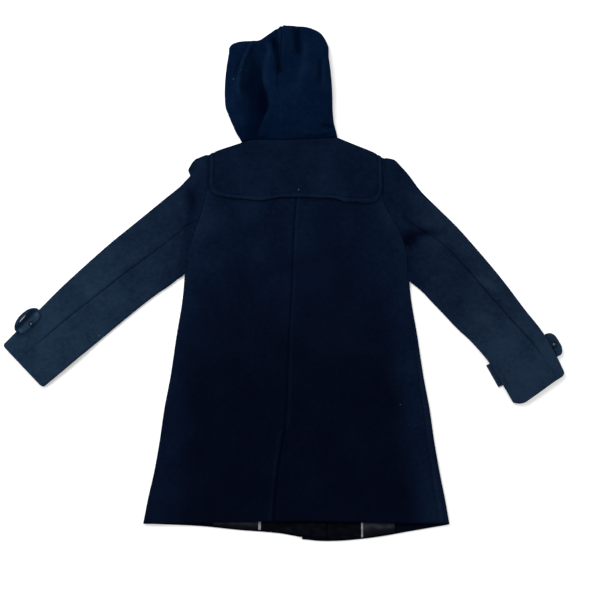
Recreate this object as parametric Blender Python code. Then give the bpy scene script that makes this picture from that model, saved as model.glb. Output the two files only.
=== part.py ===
"""Hooded wool coat lying face down on a flat surface, its hood half folded to the wearer's left.

Built like the garment: panels that meet edge to edge at seams about 0.3 mm apart. Body and sleeves are
flat tubes, so each panel is a wall that runs along the surface, turns round a soft fold and comes back
over itself. The coat is worked out in millimetres from the middle of the body at underarm height (+X to
the wearer's right, +Y to the hood, +Z up from the surface) and is centred on the origin at the end.
"""
import bpy
import numpy as np

for item in list(bpy.data.objects):
    bpy.data.objects.remove(item, do_unlink=True)

MM = 0.001
LEFT, RIGHT = -1, 1      # the wearer's sides, along X

# ---------------------------------------------------------------- driving sizes, mm
CLOTH = 3.0              # melton wool with its lining, one wall
GAP = 0.3                # clearance between neighbouring pieces
SEAM_PULL = 0.2          # each panel stops this far short of its seam line
STACK = 3 * CLOTH + 2 * GAP    # the flat coat: two fronts where they overlap, and the back
FOLD = STACK / 2         # radius of the soft folds at sides, shoulders and sleeves
HEM = -478.0             # level of the back hem
CROTCH = 2 * FOLD        # the underarm corner of body and sleeve reaches this far up the flat cloth
UNDERARM = {LEFT: 58.0, RIGHT: 42.0}
SHOULDER_TIP = {LEFT: (-203.0, 338.0), RIGHT: (201.0, 330.0)}
NECK_POINT = {LEFT: (-100.0, 373.5), RIGHT: (90.0, 378.5)}
NECK_SAG = 3.0           # dip of the back neck seam
FRONT_NECK_DROP = 75.0   # front neck below back neck

# sides of the body: level, half width on the left, half width on the right
SIDE_LEVEL, SIDE_LEFT, SIDE_RIGHT = np.array([
    (-480, 318.5, 319), (-425, 309.5, 311), (-375, 299.5, 302.5), (-310, 290, 293), (-240, 282, 285),
    (-170, 271, 274), (-80, 260.5, 263), (0, 250, 252), (60, 247, 249)], float).T
# centre back seam, which goes on as the vent's edge: level, x
CENTRE_LEVEL, CENTRE_X = np.array([
    (-480, -47), (-413, -42), (-366, -37), (-318, -30), (-285, -24), (-91, -16), (25, -10),
    (173, -5), (229, -1), (383, -2)], float).T
# armhole seam on each side: level, x
ARMHOLE = {
    LEFT: np.array([(58, -247), (100, -241), (140, -231), (187, -216), (230, -206), (268, -200), (338, -203)]),
    RIGHT: np.array([(42, 249), (110, 243), (155, 229), (190, 210), (230, 195), (268, 196), (330, 201)])}
# front hems under the back hem: x, how far they show below
FRONT_DROP = {
    LEFT: np.array([(-319, 0), (-200, 6), (-116, 16), (-33, 24), (8, 31), (64, 36)], float),
    RIGHT: np.array([(-30, 34), (14, 36), (49, 39), (91, 38), (122, 35), (153, 31), (184, 26), (215, 20),
                     (259, 12), (319, 2)], float)}
# x of the front edges, at the neck and at the hem; the right front lies outermost
FRONT_EDGE = {LEFT: (22.0, 64.0), RIGHT: (-28.0, 14.0)}
EDGE_STEP = 9.0          # the left front climbs onto the right front over this width
# how far each side seam lies from the fold, at the underarm and at the hem (left: under, right: on top)
SIDE_SEAM = {LEFT: (4.0, 16.0), RIGHT: (4.0, 18.0)}
BODY_LEVELS = (-478, -425, -375, -310, -240, -170, -80, 0)

# sleeve sections from armhole to cuff: outer edge x and y, inner edge x and y, height off the surface
SLEEVE = {
    LEFT: np.array([
        (-203, 338, -247, 58, 0), (-229, 329, -251, 54, 0), (-244, 307, -256, 50, 0),
        (-240, 290, -262, 46, 0), (-258, 268, -270, 39, 0), (-300, 230, -284, 28, 0),
        (-355, 181, -304, 14, 0), (-415, 128, -334, -10, 0), (-474, 71, -378, -48, 0),
        (-525, 19, -423, -88, 0), (-566, -29, -468, -129, 4.7), (-608, -73, -513, -169, 4.5),
        (-637, -103, -544, -196, 2.5)], float),
    RIGHT: np.array([
        (201, 330, 249, 42, 0), (222, 327, 253, 38, 0), (241, 307, 258, 34, 0), (256, 288, 264, 29, 0),
        (281, 251, 272, 22, 0), (316, 213, 281, 13, 0), (363, 162, 294, -2, 0), (413.5, 99, 320, -31, 0),
        (457, 41, 350, -65, 0), (499, -21, 383, -98, 0), (535, -74, 419, -146, 4.7),
        (563, -129, 449, -201, 4.5), (581, -168, 471, -240, 2.5)], float)}
# back sleeve seam as a share of the width from the outer edge: armhole, quarter, middle, cuff
SLEEVE_SEAM = {LEFT: (0.54, 0.50, 0.46, 0.41), RIGHT: (0.46, 0.34, 0.29, 0.21)}
FRONT_SEAM = 0.80        # the front sleeve seam, hidden under the sleeve
ARM_FOLD_RISE = {LEFT: 0.6, RIGHT: 5.0}   # soft fold that stands up beside the armhole

NECK_COLUMNS, SHOULDER_COLUMNS = 4, 3     # columns of points across half the neck and each shoulder


def fold_angles(steps):
    """Angles round a fold, from the upper flat (90 degrees) over its edge (0) to the lower flat (-90)."""
    return np.radians(np.linspace(90, -90, steps + 1))


def ramp(start, end, share):
    """Values from start to end at the given shares of the way."""
    return start + (end - start) * np.asarray(share, float)


def centre_back(level):
    """x of the centre back seam."""
    return np.interp(level, CENTRE_LEVEL, CENTRE_X)


def back_hem(x):
    """Level of the back hem, almost straight."""
    return HEM + 2.0 * np.cos(x / 90.0)


def front_hem(side, x):
    """Level of a front's hem, which shows below the back hem."""
    return back_hem(x) - np.interp(x, *FRONT_DROP[side].T)


def front_edge(side, level):
    """x of a front's centre edge."""
    top, bottom = FRONT_EDGE[side]
    return ramp(top, bottom, (310.0 - level) / 820.0)


def back_neck(x):
    """Level of the back neck seam between the two neck points."""
    (x0, y0), (x1, y1) = NECK_POINT[LEFT], NECK_POINT[RIGHT]
    share = (x - x0) / (x1 - x0)
    return ramp(y0, y1, share) - NECK_SAG * np.sin(np.pi * np.clip(share, 0, 1))


def front_neck(x):
    """Level of the front neck seam, a hollow below the back neck."""
    (x0, y0), (x1, y1) = NECK_POINT[LEFT], NECK_POINT[RIGHT]
    share = np.clip((x - x0) / (x1 - x0), 0, 1)
    return ramp(y0, y1, share) - FRONT_NECK_DROP * (1 - np.abs(2 * share - 1) ** 2.4)


def shoulder(x):
    """Level of the shoulder folds and, between the neck points, of the back neck seam."""
    line_x, line_y = np.array([SHOULDER_TIP[LEFT], NECK_POINT[LEFT], NECK_POINT[RIGHT], SHOULDER_TIP[RIGHT]]).T
    return np.where((x > line_x[1]) & (x < line_x[2]), back_neck(x), np.interp(x, line_x, line_y))


def armhole_points(side):
    """Points up the armhole on the flat cloth, from the underarm corner to the shoulder tip."""
    low, high = UNDERARM[side] + CROTCH, SHOULDER_TIP[side][1]
    top_flat = high - 1.09 * FOLD
    seam = SLEEVE_SEAM[side][0]
    shares = [1, ramp(1, seam, 1 / 3), ramp(1, seam, 2 / 3), seam, seam * 2 / 3, seam / 3, 0]
    levels = np.append(ramp(top_flat, low, shares), [high - 0.32 * FOLD, high])
    table = ARMHOLE[side]
    points = np.column_stack([np.interp(levels, table[:, 0], table[:, 1]), levels])
    points[0, 0] = side * (abs(table[0, 1]) - FOLD)
    points[1, 0] = ramp(points[0, 0], points[2, 0], 0.45)
    return points


def armhole_shares(side):
    """How far up the armhole each of its points is, 0 at the underarm and 1 at the shoulder tip."""
    level = armhole_points(side)[:, 1]
    return (level - level[0]) / (level[-1] - level[0])


def flat_panel(side, inner_x, hem, top_line, inner_columns, steps=()):
    """Grid of points of one flat, rows going up from the hem. Columns: the fold's tangent line, the side
    seam, then evenly in to inner_x(level), then steps further in by the given offsets."""
    arm = armhole_points(side)
    seam_under, seam_hem = SIDE_SEAM[side]
    levels = np.append(BODY_LEVELS, UNDERARM[side] + CROTCH)
    rise = np.append((levels[:-1] - HEM) / 500.0, 1.0)
    widths = SIDE_LEFT if side == LEFT else SIDE_RIGHT
    half = np.append(np.interp(levels[:-1], SIDE_LEVEL, widths), abs(ARMHOLE[side][0, 1]))
    columns = 2 + inner_columns
    middle = 60.0
    rows = []
    for level, up, width in zip(levels, rise, half):
        inner = inner_x(min(level, middle))
        x = np.append(side * (width - FOLD), np.zeros(columns - 1))
        x[1:] = ramp(x[0] - side * ramp(seam_hem, seam_under, up), inner, np.linspace(0, 1, columns - 1))
        low_share = (x - inner) / (x[0] - inner)
        x = np.append(x, inner + np.array(steps))
        base = level if up < 1 else ramp(middle, level, np.append(low_share, np.zeros(len(steps))))
        rows.append(np.column_stack([x, base + (hem(x) - HEM) * (1 - up)]))
    (tip_x, tip_y), neck_x = SHOULDER_TIP[side], NECK_POINT[side][0]
    inner_top = inner_x(top_line(np.array([inner_x(380.0)]))[0])
    top_x = np.append(ramp(tip_x, neck_x, np.linspace(0, 1, SHOULDER_COLUMNS + 1)),
                      ramp(neck_x, inner_top, np.linspace(0, 1, columns - SHOULDER_COLUMNS))[1:])
    top_share = (top_x - top_x[-1]) / (top_x[0] - top_x[-1])
    top_y = top_line(np.append(top_x, top_x[-1] + np.array(steps)))
    low_y = rows[-1][:, 1]
    common = (armhole_shares(LEFT) + armhole_shares(RIGHT)) / 2
    own = armhole_shares(side)
    for k in range(1, len(arm)):
        share = ramp(low_share, top_share, own[k])
        up = ramp(common[k], own[k], np.append(share, np.zeros(len(steps))))
        y = ramp(low_y, top_y, up)
        inner = inner_x(y[columns - 1]) if k < len(arm) - 1 else inner_top
        x = np.append(inner + share * (arm[k, 0] - inner), inner + np.array(steps))
        rows.append(np.column_stack([x, y]))
    grid = np.zeros((len(rows), columns + len(steps), 3))
    grid[..., :2] = np.array(rows)
    return grid


def body_half(side):
    """Outer surface of one half of the body: the back flat, the fold strip between the tangent lines and
    the front flat, as grids of points with rows going up."""
    back = flat_panel(side, centre_back, back_hem, shoulder, NECK_COLUMNS + 2)
    back[..., 2] = STACK

    def front_top(x):
        inside = (x > NECK_POINT[LEFT][0]) & (x < NECK_POINT[RIGHT][0])
        return np.where(inside, front_neck(x), shoulder(x))

    def hem(x):
        return front_hem(side, x)

    if side == RIGHT:
        front = flat_panel(side, lambda y: front_edge(RIGHT, y), hem, front_top, NECK_COLUMNS + 1)
    else:
        lap = FRONT_EDGE[LEFT][0] - FRONT_EDGE[RIGHT][0]
        front = flat_panel(side, lambda y: front_edge(RIGHT, y) - EDGE_STEP - 1, hem, front_top,
                           NECK_COLUMNS + 1, (EDGE_STEP, EDGE_STEP + 1 + lap))
        front[:, -2:, 2] = CLOTH + GAP
    # the shoulder fold: both flats close on its edge between the tip and the neck point
    for row, up in ((-2, np.sin(np.radians(45))), (-1, 0.0)):
        back[row, :SHOULDER_COLUMNS + 1, 2] = FOLD * (1 + up)
        front[row, :SHOULDER_COLUMNS + 1, 2] = FOLD * (1 - up)
    # the fold strip: an arc at each level; at the underarm it dips to the corner
    angles = fold_angles(4)
    rows = len(BODY_LEVELS) + 1
    fold = np.empty((rows, len(angles), 3))
    dip = np.where(np.arange(rows) < rows - 1, 0.0, CROTCH)[:, None]
    fold[..., 0] = back[:rows, 0, 0][:, None] + side * FOLD * np.cos(angles)
    fold[..., 1] = ramp(back[:rows, :1, 1], front[:rows, :1, 1], np.linspace(0, 1, len(angles)))
    fold[..., 1] -= dip * np.cos(angles)
    fold[..., 2] = FOLD * (1 + np.sin(angles))
    return back, fold, front


def sleeve_rings(side):
    """Outer surface of a sleeve: closed rings of points from armhole to cuff. Round a ring: the outer fold
    from its edge to the top flat, the top flat, the inner fold, the bottom flat, and the outer fold."""
    table = SLEEVE[side]
    arm = armhole_points(side)
    angles = fold_angles(4)
    count = len(table)
    place = np.linspace(0, 1, count)
    seam = np.interp(place, (0, 0.3, 0.6, 1), SLEEVE_SEAM[side])
    rings = []
    for n, (ox, oy, ix, iy, lift) in enumerate(table):
        outer, inner = np.array([ox, oy]), np.array([ix, iy])
        across = (inner - outer) / np.linalg.norm(inner - outer)
        start, end = outer + FOLD * across, inner - FOLD * across
        top_share = [seam[n] / 3, seam[n] * 2 / 3, seam[n], ramp(seam[n], 1, 1 / 3), ramp(seam[n], 1, 2 / 3)]
        top = start + (end - start) * np.array(top_share)[:, None]
        under_share = [FRONT_SEAM, 0.6, 0.45, 0.3, 0.15]
        under = start + (end - start) * np.array(under_share)[:, None]
        ring = [(*(outer + FOLD * (1 - np.cos(a)) * across), FOLD * (1 + np.sin(a))) for a in angles[2::-1]]
        ring += [(*p, STACK) for p in top]
        ring += [(*(inner - FOLD * (1 - np.cos(a)) * across), FOLD * (1 + np.sin(a))) for a in angles]
        ring += [(*p, 0.0) for p in under]
        ring += [(*(outer + FOLD * (1 - np.cos(a)) * across), FOLD * (1 + np.sin(a))) for a in angles[:2:-1]]
        ring = np.array(ring)
        ring[:, 2] += lift
        rings.append(ring)
    # the first ring is the armhole itself, point for point
    back, fold, _ = body_half(side)
    first = rings[0]
    first[:3, :2] = arm[[-1, -2, -3]]
    first[3:8, :2] = arm[5:0:-1]
    first[8:13] = fold[-1]
    first[13:18, :2] = arm[1:6]
    first[18:20, :2] = arm[[-3, -2]]
    rings = np.array(rings)
    # a soft fold stands up on the top flat beside the armhole
    rings[1:4, 4:6, 2] += ARM_FOLD_RISE[side] * np.array([[0.6, 0.8], [1.0, 1.0], [0.5, 0.6]])
    return rings


class Cloth:
    """One surface sewn from several panels. Points at the same place are one point, so both panels of a
    seam share the direction in which their walls are thick."""

    def __init__(self):
        self.points, self.index, self.faces = [], {}, {}

    def add(self, panel, grid, flip=False):
        """Adds a grid of outer points to a panel, its faces turned over when flip is true."""
        rows, columns = grid.shape[:2]
        ids = np.empty((rows, columns), int)
        for r in range(rows):
            for c in range(columns):
                key = tuple(np.round(grid[r, c], 3))
                if key not in self.index:
                    self.index[key] = len(self.points)
                    self.points.append(grid[r, c])
                ids[r, c] = self.index[key]
        faces = self.faces.setdefault(panel, [])
        for r in range(rows - 1):
            for c in range(columns - 1):
                quad = [ids[r, c], ids[r, c + 1], ids[r + 1, c + 1], ids[r + 1, c]]
                if len(set(quad)) < 3:
                    continue
                faces.append(quad[::-1] if flip else quad)

    def normals(self):
        """Unit normal at every point, from all the faces that meet there."""
        points = np.array(self.points)
        total = np.zeros_like(points)
        for faces in self.faces.values():
            for a, b, c, d in faces:
                normal = np.cross(points[c] - points[a], points[d] - points[b])
                normal /= max(np.linalg.norm(normal), 1e-9)
                for i in {a, b, c, d}:
                    total[i] += normal
        return total / np.maximum(np.linalg.norm(total, axis=1), 1e-9)[:, None]

    def wall(self, panel, near, far):
        """The panel's closed wall from near to far below the outer surface: points and triangles."""
        points, normal = np.array(self.points), self.normals()
        faces = self.faces[panel]
        edges = {}
        toward = {}
        for quad in faces:
            middle = points[quad].mean(axis=0)
            for a, b in zip(quad, quad[1:] + quad[:1]):
                edges[(a, b)] = True
                toward[a] = toward.get(a, 0) + (middle - points[a]) / np.linalg.norm(middle - points[a])
        rim = [(a, b) for a, b in edges if (b, a) not in edges]
        used = sorted(toward)
        local = {v: n for n, v in enumerate(used)}
        moved = points.copy()
        for v in {v for edge in rim for v in edge}:
            inward = toward[v] - np.dot(toward[v], normal[v]) * normal[v]
            moved[v] += SEAM_PULL * inward / max(np.linalg.norm(inward), 1e-9)
        top = moved[used] - near * normal[used]
        bottom = moved[used] - far * normal[used]
        n = len(used)
        triangles = []
        for a, b, c, d in ([local[v] for v in quad] for quad in faces):
            triangles += [(a, b, c), (a, c, d), (n + c, n + b, n + a), (n + d, n + c, n + a)]
        for a, b in rim:
            a, b = local[a], local[b]
            triangles += [(b, a, n + a), (b, n + a, n + b)]
        triangles = [t for t in triangles if len(set(t)) == 3]
        return np.vstack([top, bottom]), triangles


MATERIALS = {}


def material(name, colour, roughness):
    """A Principled material, made once."""
    if name not in MATERIALS:
        new = bpy.data.materials.new(name)
        new.use_nodes = True
        shader = new.node_tree.nodes["Principled BSDF"]
        shader.inputs["Base Color"].default_value = (*colour, 1.0)
        shader.inputs["Roughness"].default_value = roughness
        MATERIALS[name] = new
    return MATERIALS[name]


WOOL = ("wool", (0.012, 0.022, 0.042), 0.95)
LINING = ("lining", (0.03, 0.032, 0.038), 0.5)
PIPING = ("piping", (0.16, 0.16, 0.17), 0.6)
BUTTON = ("button", (0.01, 0.012, 0.018), 0.3)


def build(name, points, faces, finish):
    """Makes the object of a sub-part from points in millimetres, its faces turned outward."""
    points = np.asarray(points)
    volume = sum(np.dot(points[f[0]], np.cross(points[f[i]], points[f[i + 1]]))
                 for f in faces for i in range(1, len(f) - 1))
    if volume < 0:
        faces = [f[::-1] for f in faces]
    mesh = bpy.data.meshes.new(name)
    mesh.from_pydata([tuple(p) for p in points * MM], [], [tuple(f) for f in faces])
    mesh.update()
    mesh.materials.append(material(*finish))
    thing = bpy.data.objects.new(name, mesh)
    bpy.context.collection.objects.link(thing)
    return thing


def slab(top, bottom):
    """Closed solid between two grids of the same size: points and triangles."""
    rows, columns = top.shape[:2]
    n = rows * columns
    at = np.arange(n).reshape(rows, columns)
    triangles = []
    for r in range(rows - 1):
        for c in range(columns - 1):
            i, j, k, m = at[r, c], at[r, c + 1], at[r + 1, c + 1], at[r + 1, c]
            triangles += [(i, j, k), (i, k, m), (n + k, n + j, n + i), (n + m, n + k, n + i)]
    ring = list(at[0]) + list(at[1:, -1]) + list(at[-1, -2::-1]) + list(at[-2:0:-1, 0])
    for a, b in zip(ring, ring[1:] + ring[:1]):
        triangles += [(b, a, n + a), (b, n + a, n + b)]
    points = np.vstack([top.reshape(-1, 3), bottom.reshape(-1, 3)])
    return points, triangles


# ---------------------------------------------------------------- body and sleeves
cloth = Cloth()
half_backs, half_fronts = {}, {}
for side, word in ((LEFT, "left"), (RIGHT, "right")):
    back, fold, front = body_half(side)
    half_backs[side], half_fronts[side] = back, front
    lower = len(BODY_LEVELS) + 1
    turned = side == LEFT
    # the side seam lies under the left side and on top of the right side, so one panel wraps each fold
    wrapping, wrapped = ("back_", "front_") if side == LEFT else ("front_", "back_")
    own, other = (back, front) if side == LEFT else (front, back)
    cloth.add(wrapping + word, own)
    cloth.add(wrapping + word, fold, turned)
    cloth.add(wrapping + word, other[:lower, :2], True)
    cloth.add(wrapped + word, other[:lower, 1:], True)
    cloth.add(wrapped + word, other[lower - 1:], True)
    rings = sleeve_rings(side)
    cloth.add("sleeve_%s_top" % word, np.concatenate([rings[:, 13:], rings[:, :6]], axis=1), turned)
    cloth.add("sleeve_%s_under" % word, rings[:, 5:14], turned)
for panel in list(cloth.faces):
    build(panel, *cloth.wall(panel, 0, CLOTH), WOOL)

# ---------------------------------------------------------------- yoke
# the storm yoke: a second layer of the wool across the shoulders, its lower edge in three shallow scallops
YOKE_X, YOKE_Y = np.array([
    (-196, 264), (-193, 253), (-184, 243), (-163, 236), (-138, 232), (-113, 230), (-81, 227), (-61, 230),
    (-38, 234), (2, 235), (51, 233), (88, 231), (101, 226), (134, 223), (167, 223), (183, 231),
    (190, 243), (193, 256)], float).T
YOKE_OUT = 0.55          # how far it lies off the back


def yoke():
    """The yoke's wall: the back's own points moved out, over the shoulder folds and up to the neck seam."""
    rows = [np.vstack([half_backs[LEFT][r], half_backs[RIGHT][r, -2::-1]]) for r in (-3, -2, -1)]
    x = np.unique(np.concatenate([YOKE_X, rows[-1][:, 0]]))
    x = x[(x >= YOKE_X[0]) & (x <= YOKE_X[-1])]
    top = [np.column_stack([x, np.interp(x, r[:, 0], r[:, 1]), np.interp(x, r[:, 0], r[:, 2])]) for r in rows]
    low = np.column_stack([x, np.interp(x, YOKE_X, YOKE_Y), np.full(len(x), STACK)])
    between = [low + (top[0] - low) * share for share in (0.0, 0.5)]
    grid = np.array(between + top)
    neck = (x > NECK_POINT[LEFT][0]) & (x < NECK_POINT[RIGHT][0])
    grid[-1, neck, 1] -= SEAM_PULL
    surface = Cloth()
    surface.add("yoke", grid)
    normals = surface.normals()
    away = np.array([[normals[surface.index[tuple(np.round(p, 3))]] for p in row] for row in grid])
    return slab(grid + (YOKE_OUT + CLOTH) * away, grid + YOKE_OUT * away)


build("yoke_back", *yoke(), WOOL)

# ---------------------------------------------------------------- hood
# The hood lies half on its left side: a high mound right of a sharp fold, a hollow and a low lobe left of it.
HOOD_LEVEL = np.array((383, 393, 405, 430, 455, 478, 505, 540, 575, 600), float)
HOOD_LEFT = (-125, -129, -136, -147, -158, -165, -166, -166, -163, -158)
HOOD_RIGHT = (93, 92, 90, 86, 84, 83, 83, 82, 79, 75)
# lengthwise lines of the hood: x at each level, height at each level
HOOD_LINES = {
    "lobe": ((-116, -119, -124, -137, -150, -153, -153, -152, -149, -144),
             (12.9, 13, 14, 15, 17, 19, 21, 23, 25, 25)),
    "crest": ((-106, -108, -112, -121, -131, -137, -136, -128, -120, -108),
              (12.9, 13.2, 14, 16, 20, 24, 28, 30, 32, 33)),
    "hollow": ((-98, -98, -98, -97, -93, -99, -101, -97, -96, -92),
               (12.9, 12.9, 12.5, 12, 11, 10.8, 11, 13, 21, 33)),
    "foot": ((-91.5, -89.5, -87.5, -77, -65.5, -69.5, -77, -82, -81, -78),
             (12.9, 13, 13, 12.5, 11.5, 11.5, 12, 15, 25, 37)),
    "brow": ((-84, -82, -79, -69, -57.5, -61.5, -66, -62, -56, -52),
             (12.9, 18, 26, 36, 42, 45, 47, 46, 44, 43)),
    "shelf": ((-62, -62, -61, -54, -48, -53, -56, -52, -48, -44),
              (12.9, 20, 28, 38, 44, 48, 50, 49, 44, 40)),
    "seam": ((-28, -28.5, -29, -30, -31, -42, -43, -37, -34, -34),
             (12.9, 20, 28, 38, 44, 48, 50, 51, 51, 49)),
    "middle": ((0, 0, 0, 0, 0, -4, -5, -3, 0, 0),
               (12.9, 20, 28, 38, 44, 48, 50, 51, 50, 46)),
    "inner": ((28, 28, 28, 26, 24, 22, 22, 22, 22, 20),
              (12.9, 20, 28, 37, 43, 46, 48, 49, 49, 47)),
    "shoulder": ((78, 72, 64, 54, 52, 51, 50, 49, 46, 44),
                 (12.9, 20, 27, 35, 40, 43, 45, 46, 46, 45))}
TOP_X, TOP_Y = np.array([
    (-168, 576), (-162, 595), (-156, 607), (-147, 614), (-98, 618), (-85, 621), (-63, 637), (-38, 653),
    (-21, 655), (15, 653), (38, 647), (60, 633), (72, 614), (80, 592), (84, 570)], float).T
EDGE_HEIGHT = 9.0        # widest level of the rounded edge
UNDER_TURN = 6.5         # how far the wall turns under at the surface
EDGE_ANGLES = np.radians((0, 30, 60))


def hood_foot(x):
    """Level where the hood starts: the back neck seam, clear of the yoke where that turns down."""
    clear = np.interp(x, (-86, -72, 60, 72), (CLOTH + 1.3, 0.3, 0.3, CLOTH + 2.0))
    return shoulder(x) + clear


def hood_surface():
    """Grid of the hood's outer points, rows from the neck to the top, columns from left to right."""
    left, right = np.array(HOOD_LEFT, float), np.array(HOOD_RIGHT, float)
    lobe_x, lobe_z = (np.array(v, float) for v in HOOD_LINES["lobe"])
    last_x, last_z = (np.array(v, float) for v in HOOD_LINES["shoulder"])
    columns = []
    for a in EDGE_ANGLES:
        columns.append((left + (lobe_x - left) * (1 - np.cos(a)), EDGE_HEIGHT + (lobe_z - EDGE_HEIGHT) * np.sin(a)))
    columns += [tuple(np.array(v, float) for v in HOOD_LINES[name]) for name in HOOD_LINES]
    for a in EDGE_ANGLES[::-1]:
        columns.append((right + (last_x - right) * (1 - np.cos(a)),
                        EDGE_HEIGHT + (last_z - EDGE_HEIGHT) * np.sin(a)))
    x = np.array([c[0] for c in columns]).T
    z = np.array([c[1] for c in columns]).T
    up = ((HOOD_LEVEL - HOOD_LEVEL[0]) / (HOOD_LEVEL[-1] - HOOD_LEVEL[0]))[:, None]
    swing = np.clip((x + 110) / 60, 0, 1)
    turn = 12 + 14 * swing ** 2 * (3 - 2 * swing)
    foot, top = hood_foot(x), np.interp(x, TOP_X, TOP_Y)
    rows = [np.stack([x, foot + up * (top - turn - foot), z], axis=-1)]
    for a in EDGE_ANGLES[::-1]:
        y = top[-1] - turn[-1] * (1 - np.cos(a))
        rows.append(np.stack([x[-1], y, EDGE_HEIGHT + (z[-1] - EDGE_HEIGHT) * np.sin(a)], axis=-1)[None])
    return np.concatenate(rows)


def hood_edge(grid):
    """The left, top and right edge of the grid as one line, and the way inward at each of its points."""
    line = np.vstack([grid[:, 0], grid[-1, 1:-1], grid[::-1, -1]])
    along = np.gradient(line[:, :2], axis=0)
    inward = np.column_stack([along[:, 1], -along[:, 0]])
    inward /= np.linalg.norm(inward, axis=1)[:, None]
    inward[[0, -1]] = (1, 0), (-1, 0)
    return line, inward


def under_turn(line, inward):
    """Strip from the edge line down to the surface, turning under: rows at 0, -45 and -90 degrees."""
    rows = []
    for a in np.radians((0, -45, -90)):
        row = line.copy()
        row[:, :2] += inward * UNDER_TURN * (1 - np.cos(a))
        row[:, 2] = line[:, 2] * (1 + np.sin(a))
        rows.append(row)
    return np.array(rows)


hood_grid = hood_surface()
edge_line, edge_inward = hood_edge(hood_grid)
turned_edge = under_turn(edge_line, edge_inward)
seam_column = len(EDGE_ANGLES) + list(HOOD_LINES).index("seam")
seam_on_edge = len(hood_grid) + seam_column - 1
hood = Cloth()
hood.add("hood_left", hood_grid[:, :seam_column + 1])
hood.add("hood_left", turned_edge[:, :seam_on_edge + 1])
hood.add("hood_right", hood_grid[:, seam_column:])
hood.add("hood_right", turned_edge[:, seam_on_edge:])
for panel in hood.faces:
    build(panel, *hood.wall(panel, 0, CLOTH), WOOL)


def hood_layers():
    """The hidden layers of the folded hood as one rounded solid inside its outer wall. Its flat tongue
    lies inside the neck and reaches the front neck seam."""
    normal = hood.normals()
    points = np.array(hood.points)

    def moved(p):
        i = hood.index[tuple(np.round(p, 3))]
        return points[i] - (CLOTH + 3 * GAP) * normal[i]

    top = np.array([[moved(p) for p in row] for row in hood_grid])
    edge = np.array([[moved(p) for p in row] for row in turned_edge])
    floor = edge[-1] + np.column_stack([edge_inward * 1.6, -edge[-1, :, 2]])
    x = np.interp(top[0, :, 0], top[0, [0, -1], 0], floor[[0, -1], 0])
    back_y = np.maximum(np.maximum(hood_foot(x), hood_grid[0, :, 1]) + 1.0, top[0, :, 1] + 1.6)
    top[0, :, 1] = back_y
    top[0, :, 2] = np.minimum(top[0, :, 2] - 1.0, STACK - 1.0)
    edge[:, [0, -1], 1] = floor[[0, -1], 1] = back_y[[0, -1]]
    edge[0, [0, -1]] = top[0, [0, -1]]
    front_y = np.maximum(*(np.interp(x, *half[-1, np.argsort(half[-1, :, 0]), :2].T, left=0, right=0)
                           for half in half_fronts.values())) + 2.0
    inside = (x > NECK_POINT[LEFT][0] + 28) & (x < NECK_POINT[RIGHT][0] - 26)
    front_y = np.where(inside, np.minimum(front_y, back_y), back_y)
    low = 5.2
    tongue = [np.column_stack([x, y, z * np.ones(len(x))]) for y, z in (
        (front_y, 0.0), (front_y, np.where(inside, low, low / 2)), (back_y, low))]
    body = np.concatenate([np.array(tongue), top])
    edge = np.concatenate([edge, floor[None]])
    solid = Cloth()
    solid.add("all", body)
    solid.add("all", edge)

    def ids(line):
        found = [solid.index[tuple(np.round(p, 3))] for p in line]
        return [i for n, i in enumerate(found) if i not in found[:n]]

    faces = [tuple(f) for f in solid.faces["all"]]
    faces.append(tuple(ids(np.vstack([body[0], edge[-1, ::-1]]))[::-1]))
    faces.append(tuple(ids(np.vstack([body[:4, 0], edge[1:, 0]]))))
    faces.append(tuple(ids(np.vstack([body[:4, -1], edge[1:, -1]]))[::-1]))
    return solid.points, faces


build("hood_inner", *hood_layers(), WOOL)

# ---------------------------------------------------------------- back vent and the inside of the fronts
VENT_TOP, VENT_FOOT = -285.0, -473.5
levels = np.linspace(VENT_FOOT, VENT_TOP, 5)
edge_x = centre_back(levels)
underlap = np.array([np.column_stack([edge_x + dx, levels, np.full(5, 2 * CLOTH + GAP)])
                     for dx in (-38.0, -14.0, 10.0)])
build("vent_underlap", *slab(underlap, underlap - [0, 0, CLOTH]), WOOL)

HEM_MARGIN = 3.0         # facing and lining start this far above the front hem
TUCK = 1.5               # and end this far under the back hem
LINING_WALL = 1.0


def inside_strip(name, side, x, base, finish):
    """A strip sewn on the inside of a front hem: columns at x, resting on heights base."""
    x, base = np.array(x, float), np.array(base, float)
    raised = base > CLOTH + 1
    low = front_hem(side, x) + HEM_MARGIN
    high = np.where(raised, back_hem(x) - 0.6, back_hem(x) + TUCK)
    bottom = np.array([np.column_stack([x, y, base + GAP]) for y in (low, (low + high) / 2, high)])
    build(name, *slab(bottom + [0, 0, LINING_WALL], bottom), finish)


step_x = front_edge(RIGHT, -496.0)
lap_x = front_edge(LEFT, -496.0)
lap_z = 2 * CLOTH + GAP
inside_strip("lining_left", LEFT, (-173, -142, -110, -79), (CLOTH,) * 4, LINING)
inside_strip("piping_left", LEFT, (-78.7, -73.3), (CLOTH,) * 2, PIPING)
inside_strip("facing_left", LEFT, (-73, -30, step_x - EDGE_STEP - 4, step_x - 4, 40, lap_x - 0.5),
             (CLOTH, CLOTH, CLOTH, lap_z, lap_z, lap_z), WOOL)
inside_strip("facing_right", RIGHT, (lap_x + 0.6, 88, 112, 134.7), (CLOTH,) * 4, WOOL)
inside_strip("piping_right", RIGHT, (135, 139), (CLOTH,) * 2, PIPING)
inside_strip("lining_right", RIGHT, (139.3, 160, 182, 205), (CLOTH,) * 4, LINING)

# ---------------------------------------------------------------- cuff straps, their carriers and buttons
STRAP = 4.0              # double wool strap
STRAP_BOTTOM, STRAP_TOP = 43.0, 97.0     # its edges, measured up the outer sleeve edge
STRAP_SLANT = {LEFT: 0.0, RIGHT: 0.07}   # how much lower it lies towards the inner edge
LIFT = 4.7               # the sleeve lies this high over the strap
FOLD_AXIS = LIFT + FOLD


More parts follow.
